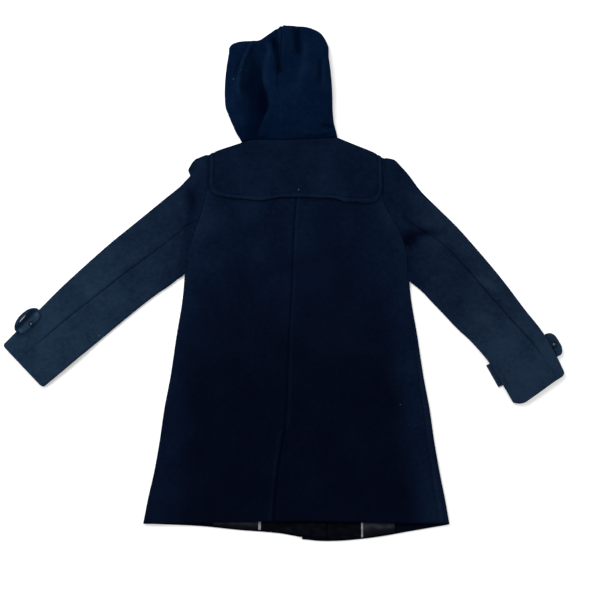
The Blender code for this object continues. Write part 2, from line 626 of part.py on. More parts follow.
def cuff_frame(side):
    """Cuff corner on the outer edge, and the ways up that edge and outward from the sleeve."""
    table = SLEEVE[side]
    lower, upper = table[-2, :2], table[-3, :2]
    up = (upper - lower) / np.linalg.norm(upper - lower)
    outward = side * np.array([up[1], -up[0]])
    return lower - 40 * up, up, outward


def at_cuff(side, p, q, z):
    """Points given by distance p up the sleeve edge, q outward and height z."""
    corner, up, outward = cuff_frame(side)
    p, q, z = np.broadcast_arrays(np.asarray(p, float), np.asarray(q, float), np.asarray(z, float))
    flat = corner + p[..., None] * up + q[..., None] * outward
    return np.concatenate([flat, z[..., None]], axis=-1)


def strap(side, outer, inner, ends):
    """A strap as a slab between two paths of (q, z); ends shorten its width towards the rounded tip."""
    outer, inner, ends = (np.array(v, float) for v in (outer, inner, ends))
    across = np.linspace(-1, 1, 5)
    middle, half = (STRAP_BOTTOM + STRAP_TOP) / 2, (STRAP_TOP - STRAP_BOTTOM) / 2
    p = middle + across[:, None] * half * ends[None]
    p = p + STRAP_SLANT[side] * outer[None, :, 0]
    grids = [at_cuff(side, p, path[None, :, 0], path[None, :, 1]) for path in (outer, inner)]
    return slab(*grids)


turn = np.radians((-90, -45, 0, 45, 90))
round_out = [(-FOLD + 9.1 * np.cos(a), FOLD_AXIS + 9.1 * np.sin(a)) for a in turn]
round_in = [(-FOLD + 5.1 * np.cos(a), FOLD_AXIS + 5.1 * np.sin(a)) for a in turn]
left_outer = [(-100, 0), (-50, 0)] + round_out + [(-14, 18.6), (-19, 18.6), (-22, 17.8)]
left_inner = [(-100, STRAP), (-50, STRAP)] + round_in + [(-14, 14.6), (-19, 14.6), (-22, 15.3)]
build("strap_left", *strap(LEFT, left_outer, left_inner, [1] * 8 + [0.93, 0.8]), WOOL)
TAB_TIP = 17.0
cuff_width = np.linalg.norm(SLEEVE[RIGHT][-2, :2] - SLEEVE[RIGHT][-2, 2:4])
right_outer = [(-cuff_width - 9, 0.4), (-cuff_width - 6, 0), (-60, 0), (-3, 0), (0.6, 0.4), (3, 1), (12, 1),
               (15, 2.2), (TAB_TIP, 4.5)]
right_inner = [(-cuff_width - 9, 3.6), (-cuff_width - 6, 4), (-60, 4), (-3, 4), (1.2, 5.5), (3, 10.6), (12, 11),
               (15, 10), (TAB_TIP, 7.5)]
build("strap_right", *strap(RIGHT, right_outer, right_inner, [0.85, 1, 1, 1, 1, 1, 0.95, 0.86, 0.7]), WOOL)


def carrier(side, path, thick, low, high):
    """The narrow wool band that carries the strap: it stands on edge along a path of (p, q)."""
    path = np.array(path, float)
    along = np.gradient(path, axis=0)
    out = np.column_stack([along[:, 1], -along[:, 0]])
    out /= np.linalg.norm(out, axis=1)[:, None]
    out *= np.sign(out[len(out) // 2, 1])
    far = path + out * thick
    far[[0, -1], 1] = path[[0, -1], 1]
    far[0, 0] += thick * np.sign(path[0, 0] - path[1, 0])
    far[-1, 0] += thick * np.sign(path[-1, 0] - path[-2, 0])
    near_low, near_high = (at_cuff(side, path[:, 0], path[:, 1], z) for z in (low, high))
    far_low, far_high = (at_cuff(side, far[:, 0], far[:, 1], z) for z in (low, high))
    ring = np.array([near_low, far_low, far_high, near_high])
    n = len(path)
    at = np.arange(4 * n).reshape(4, n)
    faces = []
    for k in range(4):
        a, b = at[k], at[(k + 1) % 4]
        faces += [(a[i], a[i + 1], b[i + 1], b[i]) for i in range(n - 1)]
    faces += [tuple(at[:, 0]), tuple(at[::-1, -1])]
    return ring.reshape(-1, 3), faces


build("loop_left", *carrier(LEFT, [(106, 1.2), (100, 10), (90, 15.5), (75, 17), (57, 13.5), (42, 6.5), (38, 0.5)],
                            3.5, 4.0, 12.0), WOOL)
build("loop_right", *carrier(RIGHT, [(98.5, 0.8), (98, 10), (93, 17.8), (69, 20.2), (45, 18), (39.5, 10), (38.5, 0.5)],
                             2.0, 3.0, 9.0), WOOL)


def button(name, side, p, q, low, radius, thick):
    """A small round button, rimmed, with a dished face."""
    rings = ((0.80, 0.0), (1.0, 0.3), (1.0, 0.75), (0.86, 1.0), (0.68, 0.8))
    angles = np.linspace(0, 2 * np.pi, 24, endpoint=False)
    centre = at_cuff(side, p, q, low)
    points = [centre + [radius * s * np.cos(a), radius * s * np.sin(a), thick * h] for s, h in rings for a in angles]
    count = len(angles)
    faces = [tuple(range(count))[::-1]]
    for k in range(len(rings) - 1):
        faces += [(k * count + i, k * count + (i + 1) % count, (k + 1) * count + (i + 1) % count,
                   (k + 1) * count + i) for i in range(count)]
    faces.append(tuple(range((len(rings) - 1) * count, len(rings) * count)))
    thing = build(name, points, faces, BUTTON)
    thing.data.shade_smooth()


button("button_left", LEFT, 72, -14.5, 18.9, 5.5, 2.5)
button("button_right", RIGHT, 69, 8.6, 11.3, 7.5, 3.0)

# ---------------------------------------------------------------- centred on the origin
things = list(bpy.data.objects)
corners = np.array([v.co for thing in things for v in thing.data.vertices])
shift = (corners.min(axis=0) + corners.max(axis=0)) / 2
for thing in things:
    for v in thing.data.vertices:
        v.co.x -= shift[0]
        v.co.y -= shift[1]
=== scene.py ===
import math

import bmesh
import bpy
import numpy as np
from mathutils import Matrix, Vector


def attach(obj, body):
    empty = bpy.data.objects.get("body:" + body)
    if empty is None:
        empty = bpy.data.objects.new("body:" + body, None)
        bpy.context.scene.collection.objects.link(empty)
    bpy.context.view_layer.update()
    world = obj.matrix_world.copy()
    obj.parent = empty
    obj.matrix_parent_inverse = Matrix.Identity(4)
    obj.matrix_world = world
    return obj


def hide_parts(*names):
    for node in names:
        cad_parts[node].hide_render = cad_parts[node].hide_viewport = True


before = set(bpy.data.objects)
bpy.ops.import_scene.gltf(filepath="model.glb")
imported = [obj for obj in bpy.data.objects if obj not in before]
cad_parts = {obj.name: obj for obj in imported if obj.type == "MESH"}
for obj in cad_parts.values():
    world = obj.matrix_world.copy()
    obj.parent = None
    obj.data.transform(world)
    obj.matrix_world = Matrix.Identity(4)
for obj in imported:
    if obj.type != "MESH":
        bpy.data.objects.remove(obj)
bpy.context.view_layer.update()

# ---------------------------------------------------------------------------------------------
# Table and light
# The coat lies on a wide pale board. One big soft lamp hangs overhead towards the hood and two weaker
# ones stand at the sides, with a plain bright room around.
scene = bpy.context.scene
scene.view_settings.view_transform = "Standard"
MM = 0.001
COAT_ZERO = np.array([27.972, -69.475, 0.0])     # mm: the middle of the coat at underarm level
WHITE = (1, 1, 1)


def to_row(points):
    """Metres in the row's frame, from millimetres measured from the middle of the coat."""
    return (np.asarray(points, float) + COAT_ZERO) * MM


def new_material(name, roughness, shine):
    """A material, with a function that sets its shader's sockets, one that adds a node with its sockets and
    settings, and the Object coordinates. A socket takes a number, a colour or another node's output."""
    material = bpy.data.materials.new(name)
    material.use_nodes = True
    tree = material.node_tree
    shader = next(n for n in tree.nodes if n.type == "BSDF_PRINCIPLED")

    def fill(node, sockets):
        """Sets a node's sockets, or links them where the value is another node's output."""
        for key, value in sockets.items():
            if isinstance(value, bpy.types.NodeSocket):
                tree.links.new(value, node.inputs[key])
            else:
                node.inputs[key].default_value = value

    def add(kind, sockets, **settings):
        """A new node of that kind."""
        node = tree.nodes.new("ShaderNode" + kind)
        for key, value in settings.items():
            setattr(node, key, value)
        fill(node, sockets)
        return node

    fill(shader, {"Roughness": roughness, "Specular IOR Level": shine})
    return material, lambda sockets: fill(shader, sockets), add, add("TexCoord", {}).outputs["Object"]


def plain_material(name, colour, roughness, shine=0.5, scale=3.0, dark=None, glow=0.0):
    """A material whose colour clouds faintly into the dark one, or into a tone a little below itself."""
    material, finish, add, where = new_material(name, roughness, shine)
    cloud = add("TexNoise", {"Scale": scale, "Vector": where}).outputs["Fac"]
    ramp = add("ValToRGB", {"Fac": cloud})
    ramp.color_ramp.elements[0].color = (*(dark or [c * 0.985 for c in colour]), 1)
    ramp.color_ramp.elements[1].color = (*colour, 1)
    finish({"Base Color": ramp.outputs["Color"], "Emission Color": (*WHITE, 1), "Emission Strength": glow})
    return material


BOARD_REACH = 20         # metres each way
board = bpy.data.meshes.new("board")
board.from_pydata([(x * BOARD_REACH, y * BOARD_REACH, 0) for x, y in ((-1, -1), (1, -1), (1, 1), (-1, 1))],
                  [], [(0, 1, 2, 3)])
board.materials.append(plain_material("pale_board", (0.93, 0.93, 0.93), 0.8, glow=0.22))
board = bpy.data.objects.new("board", board)
scene.collection.objects.link(board)

scene.world = bpy.data.worlds.new("room")
scene.world.use_nodes = True
room = scene.world.node_tree.nodes["Background"]
room.inputs["Color"].default_value = (*WHITE, 1)
room.inputs["Strength"].default_value = 0.56

# square soft lamps, which shine at the middle of the board: place, size and power
LAMPS = {"lamp_overhead": ((-1.2, 1.2, 2.4), 1.8, 62), "lamp_left": ((-2.6, -0.6, 1.2), 1.2, 14),
         "lamp_right": ((2.4, 0.3, 1.6), 1.2, 14)}
for name, (place, size, power) in LAMPS.items():
    light = bpy.data.lights.new(name, "AREA")
    light.size, light.energy = size, power
    lamp = bpy.data.objects.new(name, light)
    scene.collection.objects.link(lamp)
    lamp.location = place
    lamp.rotation_euler = (-Vector(place)).to_track_quat("-Z", "Y").to_euler()

# The camera looks down steeply from the hem's side.
ELEVATION, DISTANCE = math.radians(76.0), 2.2
AIM = to_row((8, 0, 0))
eye = bpy.data.cameras.new("camera")
eye.sensor_width, eye.lens = 36.0, 60.0
camera = bpy.data.objects.new("camera", eye)
scene.collection.objects.link(camera)
camera.location = AIM + DISTANCE * np.array([0, -math.cos(ELEVATION), math.sin(ELEVATION)])
camera.rotation_euler = (math.pi / 2 - ELEVATION, 0, 0)
scene.camera = camera

# ---------------------------------------------------------------------------------------------
# Fronts
# Two wool panels that lie underneath, face to the table, and meet the back at the shoulders and sides.
# The right front laps over the left one down the middle and wraps the right side as far as its seam.

# Heavy navy melton, milled and brushed so that short fibres hide the weave. It takes light softly, is
# a little lighter where the nap is rubbed up, and carries a few specks of lint.
LINT = (0.09, 0.12, 0.16)      # pale fluff


def wool_material(name, stops):
    """Napped wool. Its colour runs through the stops, the two ends first, with the piece's tone attribute,
    which carries painted light and shade, made uneven by clouds of nap at three sizes, and it carries lint:
    a dot in a few of the cells of a fine net."""
    material, finish, add, where = new_material(name, 0.95, 0.0)

    def noise(scale, detail, rough):
        """Clouds of nap at a scale."""
        sockets = {"Scale": scale, "Detail": detail, "Roughness": rough, "Vector": where}
        return add("TexNoise", sockets).outputs["Fac"]

    def work_out(kind, *values):
        """One step of arithmetic on numbers or other nodes' outputs."""
        return add("Math", dict(enumerate(values)), operation=kind).outputs[0]

    broad, patchy, fibre = noise(16, 4, 0.6), noise(110, 5, 0.7), noise(950, 3, 0.7)
    uneven = work_out("MULTIPLY_ADD", broad, 1.3, -0.65)
    uneven = work_out("ADD", uneven, work_out("MULTIPLY_ADD", patchy, 1.5, -0.75))
    uneven = work_out("ADD", uneven, work_out("MULTIPLY_ADD", fibre, 1.3, 0.35))
    tone = add("Attribute", {}, attribute_name="tone").outputs["Fac"]
    level = work_out("MULTIPLY", work_out("ADD", tone, 0.015), uneven)
    ramp = add("ValToRGB", {"Fac": level})
    for n, (place, colour) in enumerate(stops):
        stop = ramp.color_ramp.elements[n] if n < 2 else ramp.color_ramp.elements.new(place)
        stop.position, stop.color = place, (*colour, 1)
    cells = add("TexVoronoi", {"Scale": 60, "Vector": where}).outputs
    parts = add("SeparateColor", {"Color": cells["Color"]}).outputs
    chosen = work_out("GREATER_THAN", parts["Red"], 0.94)
    near = work_out("LESS_THAN", cells["Distance"], work_out("MULTIPLY", parts["Green"], 0.085))
    speck = work_out("MULTIPLY", work_out("MULTIPLY", chosen, near), 0.7)
    colour = add("Mix", {"Factor": speck, "A": ramp.outputs["Color"], "B": (*LINT, 1)}, data_type="RGBA")
    nap = work_out("ADD", work_out("MULTIPLY", patchy, 1.3), fibre)
    bump = add("Bump", {"Strength": 0.6, "Distance": 0.0012, "Height": nap})
    finish({"Base Color": colour.outputs["Result"], "Normal": bump.outputs["Normal"], "Sheen Weight": 0.02,
            "Sheen Roughness": 0.5, "Sheen Tint": (0.15, 0.4, 0.9, 1)})
    return material


WOOL = wool_material("navy_wool", [
    (0.0, (0.0010, 0.0012, 0.0042)), (1.0, (0.0112, 0.0245, 0.0462)),
    (0.18, (0.0023, 0.0059, 0.0172)), (0.5, (0.0060, 0.0134, 0.0295))])
CLOTH = 3.0              # mm, wool and lining together


def sew(name, grids, tones, material, wall=CLOTH):
    """A piece of cloth in place of the node of that name, from grids of points on its outer face, in mm.
    Points that two grids share are merged, and the wall grows inward. tones are the grids' tones, 0 dark to
    1 light."""
    points, faces, tone, base = [], [], [], 0
    for grid, shade in zip(grids, tones):
        rows, columns = grid.shape[:2]
        at = base + np.arange(rows * columns).reshape(rows, columns)
        faces.append(np.stack([at[:-1, :-1], at[:-1, 1:], at[1:, 1:], at[1:, :-1]], axis=-1).reshape(-1, 4))
        points.append(grid.reshape(-1, 3))
        tone.append(np.broadcast_to(shade, (rows, columns)).ravel())
        base += rows * columns
    mesh = bpy.data.meshes.new(name + "_sewn")
    mesh.from_pydata(to_row(np.vstack(points)), [], np.vstack(faces).tolist())
    mesh.attributes.new("tone", "FLOAT", "POINT").data.foreach_set("value", np.concatenate(tone))
    work = bmesh.new()
    work.from_mesh(mesh)
    bmesh.ops.remove_doubles(work, verts=work.verts, dist=2e-5)
    bmesh.ops.dissolve_degenerate(work, edges=work.edges, dist=1e-6)
    work.to_mesh(mesh)
    work.free()
    mesh.shade_smooth()
    mesh.materials.append(material)
    piece = bpy.data.objects.new(name + "_sewn", mesh)
    scene.collection.objects.link(piece)
    if wall:
        thick = piece.modifiers.new("wall", "SOLIDIFY")
        thick.thickness, thick.offset = wall * MM, -1
    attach(piece, "root")
    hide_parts(name)
    return piece


LEFT, RIGHT = -1, 1
LAYERS = 9.6             # mm, two fronts where they lap and the back on top
FOLD = LAYERS / 2        # radius of the soft folds
SHOULDER_ROLL = 1.09 * FOLD      # how far the shoulder fold reaches beyond the flat
UNDERARM = {LEFT: 58.0, RIGHT: 42.0}
CORNER = {side: level + 2 * FOLD for side, level in UNDERARM.items()}
SHOULDER_TIP = {LEFT: (-203.0, 338.0), RIGHT: (201.0, 330.0)}
NECK_POINT = {LEFT: (-100.0, 373.5), RIGHT: (90.0, 378.5)}
BACK_NECK, FRONT_NECK = 3.0, 75.0      # how far the neck seams hollow out
HEM = -478.0
# level, half width to the left, half width to the right
SIDE_LEVEL, SIDE_LEFT, SIDE_RIGHT = np.array([
    (-480, 318.5, 319), (-425, 309.5, 311), (-375, 299.5, 302.5), (-310, 290, 293), (-240, 282, 285),
    (-170, 271, 274), (-80, 260.5, 263), (0, 250, 252), (60, 247, 249)], float).T
# armhole seams: level, x
ARMHOLE = {
    LEFT: [(58, -247), (100, -241), (140, -231), (187, -216), (230, -206), (268, -200), (338, -203)],
    RIGHT: [(42, 249), (110, 243), (155, 229), (190, 210), (230, 195), (268, 196), (330, 201)]}
SIDE_SEAM_AT_HEM = {LEFT: 16.0, RIGHT: 18.0}
# front hems: x, how far they show below the back hem
FRONT_DROP = {
    LEFT: [(-319, 0), (-200, 6), (-116, 16), (-33, 24), (8, 31), (64, 36)],
    RIGHT: [(-30, 34), (14, 36), (49, 39), (91, 38), (122, 35), (153, 31), (184, 26), (215, 20),
            (259, 12), (319, 2)]}
# centre front edges, which lean a little: x at the top level, and at the bottom one
FRONT_EDGE = {LEFT: (22.0, 64.0), RIGHT: (-28.0, 14.0)}
EDGE_TOP, EDGE_BOTTOM = 310.0, -510.0
# shares of a panel's width at which its points crowd near a seam
NEAR_SEAM = np.array([0, 0.8, 1.8, 3.0, 4.6, 6.6, 9.2, 12.5]) / 280
FRONT_TONE = 0.03


def between(value, none, full):
    """0 at none and beyond it, 1 at full and beyond it, and an even S between them."""
    t = np.clip((np.asarray(value, float) - none) / (full - none), 0, 1)
    return t * t * (3 - 2 * t)


def easy_curve(at, levels, values, even=False):
    """A smooth curve through points: cubic pieces that share the mean slope of their neighbours. With even
    it is their harmonic mean, and 0 at a turn, so that the curve never swings past its points."""
    levels, values = np.array(levels, float), np.array(values, float)
    slopes = np.diff(values) / np.diff(levels)
    before, after = slopes[:-1], slopes[1:]
    shared = (before + after) / 2
    if even:
        same = before * after > 0
        shared = np.where(same, before * after / np.where(same, shared, 1), 0)
    tilt = np.concatenate([slopes[:1], shared, slopes[-1:]])
    at = np.clip(at, levels[0], levels[-1])
    i = np.clip(np.searchsorted(levels, at) - 1, 0, len(levels) - 2)
    step = levels[i + 1] - levels[i]
    t = (at - levels[i]) / step
    return ((1 + 2 * t) * (1 - t) ** 2 * values[i] + t * (1 - t) ** 2 * step * tilt[i]
            + t * t * (3 - 2 * t) * values[i + 1] - t * t * (1 - t) * step * tilt[i + 1])


def grid_of(x, y, z):
    """Grid points from their three measures, each spread over the whole grid."""
    return np.stack(np.broadcast_arrays(x, y, z), axis=-1)


def side_line(side, y):
    """x of a panel's outer line on the flat: where the side fold starts, and the armhole seam above."""
    below = easy_curve(y, SIDE_LEVEL, SIDE_LEFT if side == LEFT else SIDE_RIGHT) - FOLD
    level, x = np.array(ARMHOLE[side], float).T
    level[0], x[0] = CORNER[side], side * (abs(x[0]) - FOLD)
    return np.where(np.asarray(y) < CORNER[side], side * below, easy_curve(y, level, x))


def shoulder_line(x):
    """Level of the shoulder folds, and of the back neck seam, a shallow sine, between the neck points."""
    (x0, y0), (x1, y1) = NECK_POINT[LEFT], NECK_POINT[RIGHT]
    share = (x - x0) / (x1 - x0)
    neck = y0 + (y1 - y0) * share - BACK_NECK * np.sin(np.pi * np.clip(share, 0, 1))
    line = np.array([SHOULDER_TIP[LEFT], NECK_POINT[LEFT], NECK_POINT[RIGHT], SHOULDER_TIP[RIGHT]]).T
    return np.where((share > 0) & (share < 1), neck, np.interp(x, *line))


def front_neck(x):
    """Level of the front neck seam: the shoulder line with a deep hollow between the neck points."""
    x0, x1 = NECK_POINT[LEFT][0], NECK_POINT[RIGHT][0]
    share = np.clip((x - x0) / (x1 - x0), 0, 1)
    return shoulder_line(x) - FRONT_NECK * (1 - np.abs(2 * share - 1) ** 2.4)


def front_edge(side, y):
    """x of a front's centre edge: a straight line that leans a little."""
    top, bottom = FRONT_EDGE[side]
    return top + (bottom - top) * (EDGE_TOP - y) / (EDGE_TOP - EDGE_BOTTOM)


def back_hem(x):
    """Level of the back hem: straight but for 2 mm of slow wave."""
    return HEM + 2.0 * np.cos(x / 90.0)


def front_hem(side, x):
    """Level of a front's hem."""
    return back_hem(x) - easy_curve(x, *np.array(FRONT_DROP[side], float).T)


LOW_ROWS, HIGH_ROWS = 112, 58
MIDDLE_TOP = 60.0        # level at which the lower rows end in the middle


def flat_panel(side, inner, hem, top, columns, seam_at_hem=0.0):
    """Plan of a flat panel, rows from hem to shoulder and columns from the side to inner(level). Lower rows
    follow the side fold, upper ones the armhole; the last rows crowd where the shoulder rolls over.
    Gives x, y and, for each point, the angle round the shoulder fold in radians (0 on the flat)."""
    share = np.unique(np.concatenate([NEAR_SEAM, np.linspace(0, 1, columns)[2:-2], 1 - NEAR_SEAM]))
    corner = CORNER[side]
    level = np.linspace(HEM, corner, LOW_ROWS)[:, None]
    rise = np.clip((level - HEM) / (corner - HEM), 0, 1)
    start = side_line(side, level - 1e-6) - side * seam_at_hem * (1 - rise)
    x = start + (inner(level) - start) * share
    base = level + (MIDDLE_TOP - corner) * share * rise ** 3
    low = np.stack([x, base + (hem(x) - HEM) * (1 - rise) ** 2], axis=-1)
    low_y, guess = low[-1, :, 1], low[-1, :, 0]
    high, angle = [], []
    steps = [(f, 0.0) for f in np.linspace(0, 1, HIGH_ROWS)[1:]]
    steps += [(1.0, a) for a in np.linspace(0, np.pi / 2, 6)[1:]]
    for f, a in steps:
        for _ in range(3):
            y = low_y + (top(guess) - SHOULDER_ROLL - low_y) * f + SHOULDER_ROLL * np.sin(a)
            edge = float(side_line(side, min(y[0], SHOULDER_TIP[side][1])))
            guess = edge + (inner(y[-1]) - edge) * share
        high.append(np.stack([guess, y], axis=-1))
        angle.append(np.full(len(share), a))
    plan = np.concatenate([low, np.array(high)])
    return plan[..., 0], plan[..., 1], np.concatenate([np.zeros(low.shape[:2]), np.array(angle)])


def over_shoulder(x, angle):
    """Share of the way down the shoulder fold: 0 on the flat and at the neck, 1 on the fold's edge."""
    away = np.maximum(NECK_POINT[LEFT][0] - x, x - NECK_POINT[RIGHT][0])
    return (1 - np.cos(angle)) * between(away, -14, 0)


def front_panel(side):
    """Outer points of a front's flat. The left one stops 10 mm short of where the right one's edge lies."""
    short = 10.0 if side == LEFT else 0.0
    seam = SIDE_SEAM_AT_HEM[side] if side == LEFT else 0.0
    x, y, angle = flat_panel(side, lambda v: front_edge(RIGHT, v) - short, lambda v: front_hem(side, v),
                             front_neck, 30, seam)
    return grid_of(x, y, FOLD * over_shoulder(x, angle))


front_left, front_right = front_panel(LEFT), front_panel(RIGHT)
# the left front goes on as a lap that climbs onto the right one
out = np.array([0.0, 2.5, 6.5, 9.0, 20.0, 40.0, 58.0, 60.0])
lap = np.repeat(front_left[:, -1:], len(out), axis=1)
lap[..., 0] += out
further_down = front_hem(LEFT, lap[..., 0]) - front_hem(LEFT, lap[:, :1, 0])
lap[..., 1] += further_down * between(lap[..., 1], -200, HEM)
lap[..., 2] += (CLOTH + 0.3) * between(out, 0, 9)
sew("front_left", [front_left[:, ::-1], lap[:, ::-1]], [FRONT_TONE] * 2, WOOL)

# ---------------------------------------------------------------------------------------------
# Back
# Two long panels of the same wool, joined down the middle by a seam that opens into a vent near the hem.
# The left one wraps the left side; the right one stops at the right side seam, which shows on top.
CENTRE_LEVEL, CENTRE_X = np.array([
    (-480, -47), (-413, -42), (-366, -37), (-318, -30), (-285, -24), (-91, -16), (25, -10),
    (173, -5), (229, -1), (383, -2)], float).T
VENT_TOP = -285.0
# from the underarms and down the skirt: lines seen from above, height and half width
BACK_FOLDS = (
    ([(-214, 150), (-180, 118), (-150, 60)], 1.2, 16),
    ([(206, 150), (176, 110), (158, 40)], 1.1, 18),
    ([(120, -60), (150, -180), (190, -300)], 0.9, 26),
    ([(-150, -40), (-175, -200), (-200, -330)], 0.9, 24))
VENT_STITCHES = [(-24, -284), (-42, -291), (-62, -296)]      # the slanting row that ends the vent


def bell(gap, width):
    """1 where gap is 0, falling off as a bell: the exponential of minus its squared share of width."""
    return np.exp(-(gap / width) ** 2)


def reach(x, y, path):
    """Distance in the plane from (x, y) to a line of points, and how far along it (0 to 1) that is."""
    path = np.array(path, float)
    lengths = np.linalg.norm(np.diff(path, axis=0), axis=1)
    start = np.concatenate([[0], np.cumsum(lengths)])
    best = np.full(np.shape(x), 1e9)
    along = np.zeros(np.shape(x))
    for (ax, ay), (bx, by), length, before in zip(path[:-1], path[1:], lengths, start):
        t = np.clip(((x - ax) * (bx - ax) + (y - ay) * (by - ay)) / length ** 2, 0, 1)
        gap = np.hypot(x - ax - t * (bx - ax), y - ay - t * (by - ay))
        nearer = gap < best
        best = np.where(nearer, gap, best)
        along = np.where(nearer, (before + t * length) / start[-1], along)
    return best, along


def folds(x, y, table):
    """Height of all the folds in a table of line seen from above, height and half width in mm. Each is its
    height times a bell of the distance from its line, and dies away at both ends."""
    total = 0
    for path, rise, spread in table:
        gap, along = reach(x, y, path)
        fade = between(along, -0.02, 0.22) * between(along, 1.02, 0.78)
        total = total + rise * bell(gap, spread) * fade
    return total


WAVES = 6


def ripple(x, y, size, seed):
    """Slow uneven swell between -1 and 1: plane waves of about the given length, crossed at odd angles."""
    chance = np.random.RandomState(seed)
    total = 0
    for _ in range(WAVES):
        turn, length = chance.uniform(0, math.pi), size * chance.uniform(0.7, 1.6)
        start = chance.uniform(0, 6.28)
        total = total + np.sin((x * math.cos(turn) + y * math.sin(turn)) * 6.283 / length + start)
    return total / WAVES


def seam_width(side):
    """How far the side seam lies in from the side, from the hem up to nothing at the underarm."""
    return SIDE_SEAM_AT_HEM[side] * np.linspace(1, 0.01, LOW_ROWS)


def side_fold(side, upper, lower, strip, on_top):
    """The fold at a side: from the upper flat's first column over the edge to the lower flat's, and on by
    a strip as far as the side seam. The last rows dip to the underarm corner."""
    turn = np.radians(np.linspace(90, -90, 13))
    near, far = upper[:LOW_ROWS, :1], lower[:LOW_ROWS, :1]
    dip = 2 * FOLD * between(np.linspace(0, 1, LOW_ROWS), 0.88, 1.0)[:, None]
    y = near[..., 1] + (far[..., 1] - near[..., 1]) * (90 - np.degrees(turn)) / 180 - dip * np.cos(turn)
    arc = grid_of(near[..., 0] + side * FOLD * np.cos(turn), y, FOLD + FOLD * np.sin(turn))
    arc[:, 0], arc[:, -1] = near[:, 0], far[:, 0]
    flat = np.repeat(near if on_top else far, strip, axis=1)
    flat[..., 0] -= side * seam_width(side)[:, None] * np.linspace(0, 1, strip)
    return arc, flat


def centre_back(y):
    """x of the centre back seam, which goes on down as the vent's edge."""
    return easy_curve(y, CENTRE_LEVEL, CENTRE_X)


def in_vent(y):
    """0 above the vent's top and 1 below it."""
    return between(y, VENT_TOP + 5, VENT_TOP - 7)


def back_relief(x, y):
    """How far the back stands off the flat: slow swells, soft flutes above the hem, a hem that lifts a
    little in the middle, and the hollow of the centre seam between its two pressed-back edges."""
    calm = between(np.minimum(x - side_line(LEFT, y), side_line(RIGHT, y) - x), 0, 34)
    flutes = 1.3 * np.sin(x / 31.0 + 0.6 * np.sin(y / 120)) + 1.3 + 1.6 * bell(x - 20, 130)
    height = 0.9 * ripple(x, y * 0.6, 170, 4) + 0.4 * ripple(x, y, 62, 9) + 0.9
    height = calm * (height + flutes * between(y, -120, -470) + folds(x, y, BACK_FOLDS))
    seam, vent = np.abs(x - centre_back(y)), in_vent(y)
    height += (0.55 + 0.5 * vent) * bell(seam - 7, 4.5) - (1.5 + 1.2 * vent) * bell(seam, 2.4)
    return height - 0.9 * bell(reach(x, y, VENT_STITCHES)[0], 1.8)


# the yoke's free edge from its left side, along the scalloped bottom, to its right side
YOKE_X, YOKE_Y = np.array([
    (-196, 264), (-193, 253), (-184, 243), (-163, 236), (-138, 232), (-113, 230), (-81, 227), (-61, 230),
    (-38, 234), (2, 235), (51, 233), (88, 231), (101, 226), (134, 223), (167, 223), (183, 231),
    (190, 243), (193, 256)], float).T


def yoke_edge_distance(x, y):
    """Distance from the yoke's free edge: its sides and its lower edge."""
    return reach(x, y, [(YOKE_X[0], 345), *zip(YOKE_X, YOKE_Y), (YOKE_X[-1], 345)])[0]


def body_tone(grid):
    """Tone of the body, with painted light and shade: painted shade that darkens it downward and a painted
    shadow just under the yoke's edge, lighter along both sides, and painted shade in the grooves of the
    centre and side seams with painted highlights on the pressed edges beside them."""
    x, y = grid[..., 0], grid[..., 1]
    half = np.abs(x + 4) / (255 + 0.13 * np.maximum(-y, 0))
    # painted shade: the back darkens downward
    tone = 0.035 + 0.12 * between(y, -230, 250) + 0.05 * between(y, 60, 250) * between(half, 0.2, 0.8)
    tone -= 0.03 * between(x, -20, 60) * between(y, -100, 100) * between(half, 0.8, 0.5)
    # painted shadow cast by the yoke's edge on the back below it
    tone *= 1 - 0.55 * bell(yoke_edge_distance(x, y), 5.0)
    tone += (0.10 + 0.03 * ripple(y, 0.4 * x, 140, 22)) * between(half, 0.66, 1.0)
    near = np.minimum(x - side_line(LEFT, y), side_line(RIGHT, y) - x)
    tone += 0.05 * between(near, 36, 0) * between(y, 30, 90) * between(y, 300, 200)
    tone -= 0.07 * bell(x - 243, 16) * bell(y - 120, 60)
    seam, vent = x - centre_back(y), in_vent(y)
    # painted shade in the centre seam's groove and down the vent's edge, and a painted highlight on the
    # pressed edge beside it
    tone *= 1 - (0.75 + 0.1 * vent) * bell(seam, 1.5 + 1.3 * vent)
    tone += 0.035 * bell(seam - 5 + 13 * vent, 3.5)
    up = np.clip((y - HEM) / (CORNER[RIGHT] - HEM), 0, 1)
    seam = x - side_line(RIGHT, y) + SIDE_SEAM_AT_HEM[RIGHT] * (1 - up)
    low = between(y, 0, -260)
    # painted shade in the right side seam's groove low down, and a painted highlight on the pressed edge
    # beside it
    tone *= 1 - 0.6 * low * bell(seam, 1.5)
    tone += 0.10 * low * bell(seam - 6, 4.5)
    tone += 0.07 * low * between(near, 75, 12) * between(x, 0, 60)
    return tone * (1 + 0.35 * ripple(x, y, 120, 21))


def on_back(x, y, angle):
    """Points of the back's outer face over a plan, the shoulder rolled over to meet the front."""
    down = over_shoulder(x, angle)
    return grid_of(x, y, LAYERS - FOLD * down + back_relief(x, y) * (1 - down))


back_left = on_back(*flat_panel(LEFT, centre_back, back_hem, shoulder_line, 58))
back_right = on_back(*flat_panel(RIGHT, centre_back, back_hem, shoulder_line, 58, SIDE_SEAM_AT_HEM[RIGHT]))
under = front_left[:LOW_ROWS, :1] - [1, 0, 0] * seam_width(LEFT)[:, None, None]
arc, strip = side_fold(LEFT, back_left, under, 4, False)
grids = [back_left, arc[:, ::-1], strip[:, ::-1]]
sew("back_left", grids, [body_tone(g) for g in grids], WOOL)
side_edge = back_right[:LOW_ROWS, :1] + [1, 0, 0] * seam_width(RIGHT)[:, None, None]
side_edge[..., 2] = LAYERS
arc, strip = side_fold(RIGHT, side_edge, front_right, 9, True)
back_right = back_right[:, ::-1]
sew("back_right", [back_right], [body_tone(back_right)], WOOL)
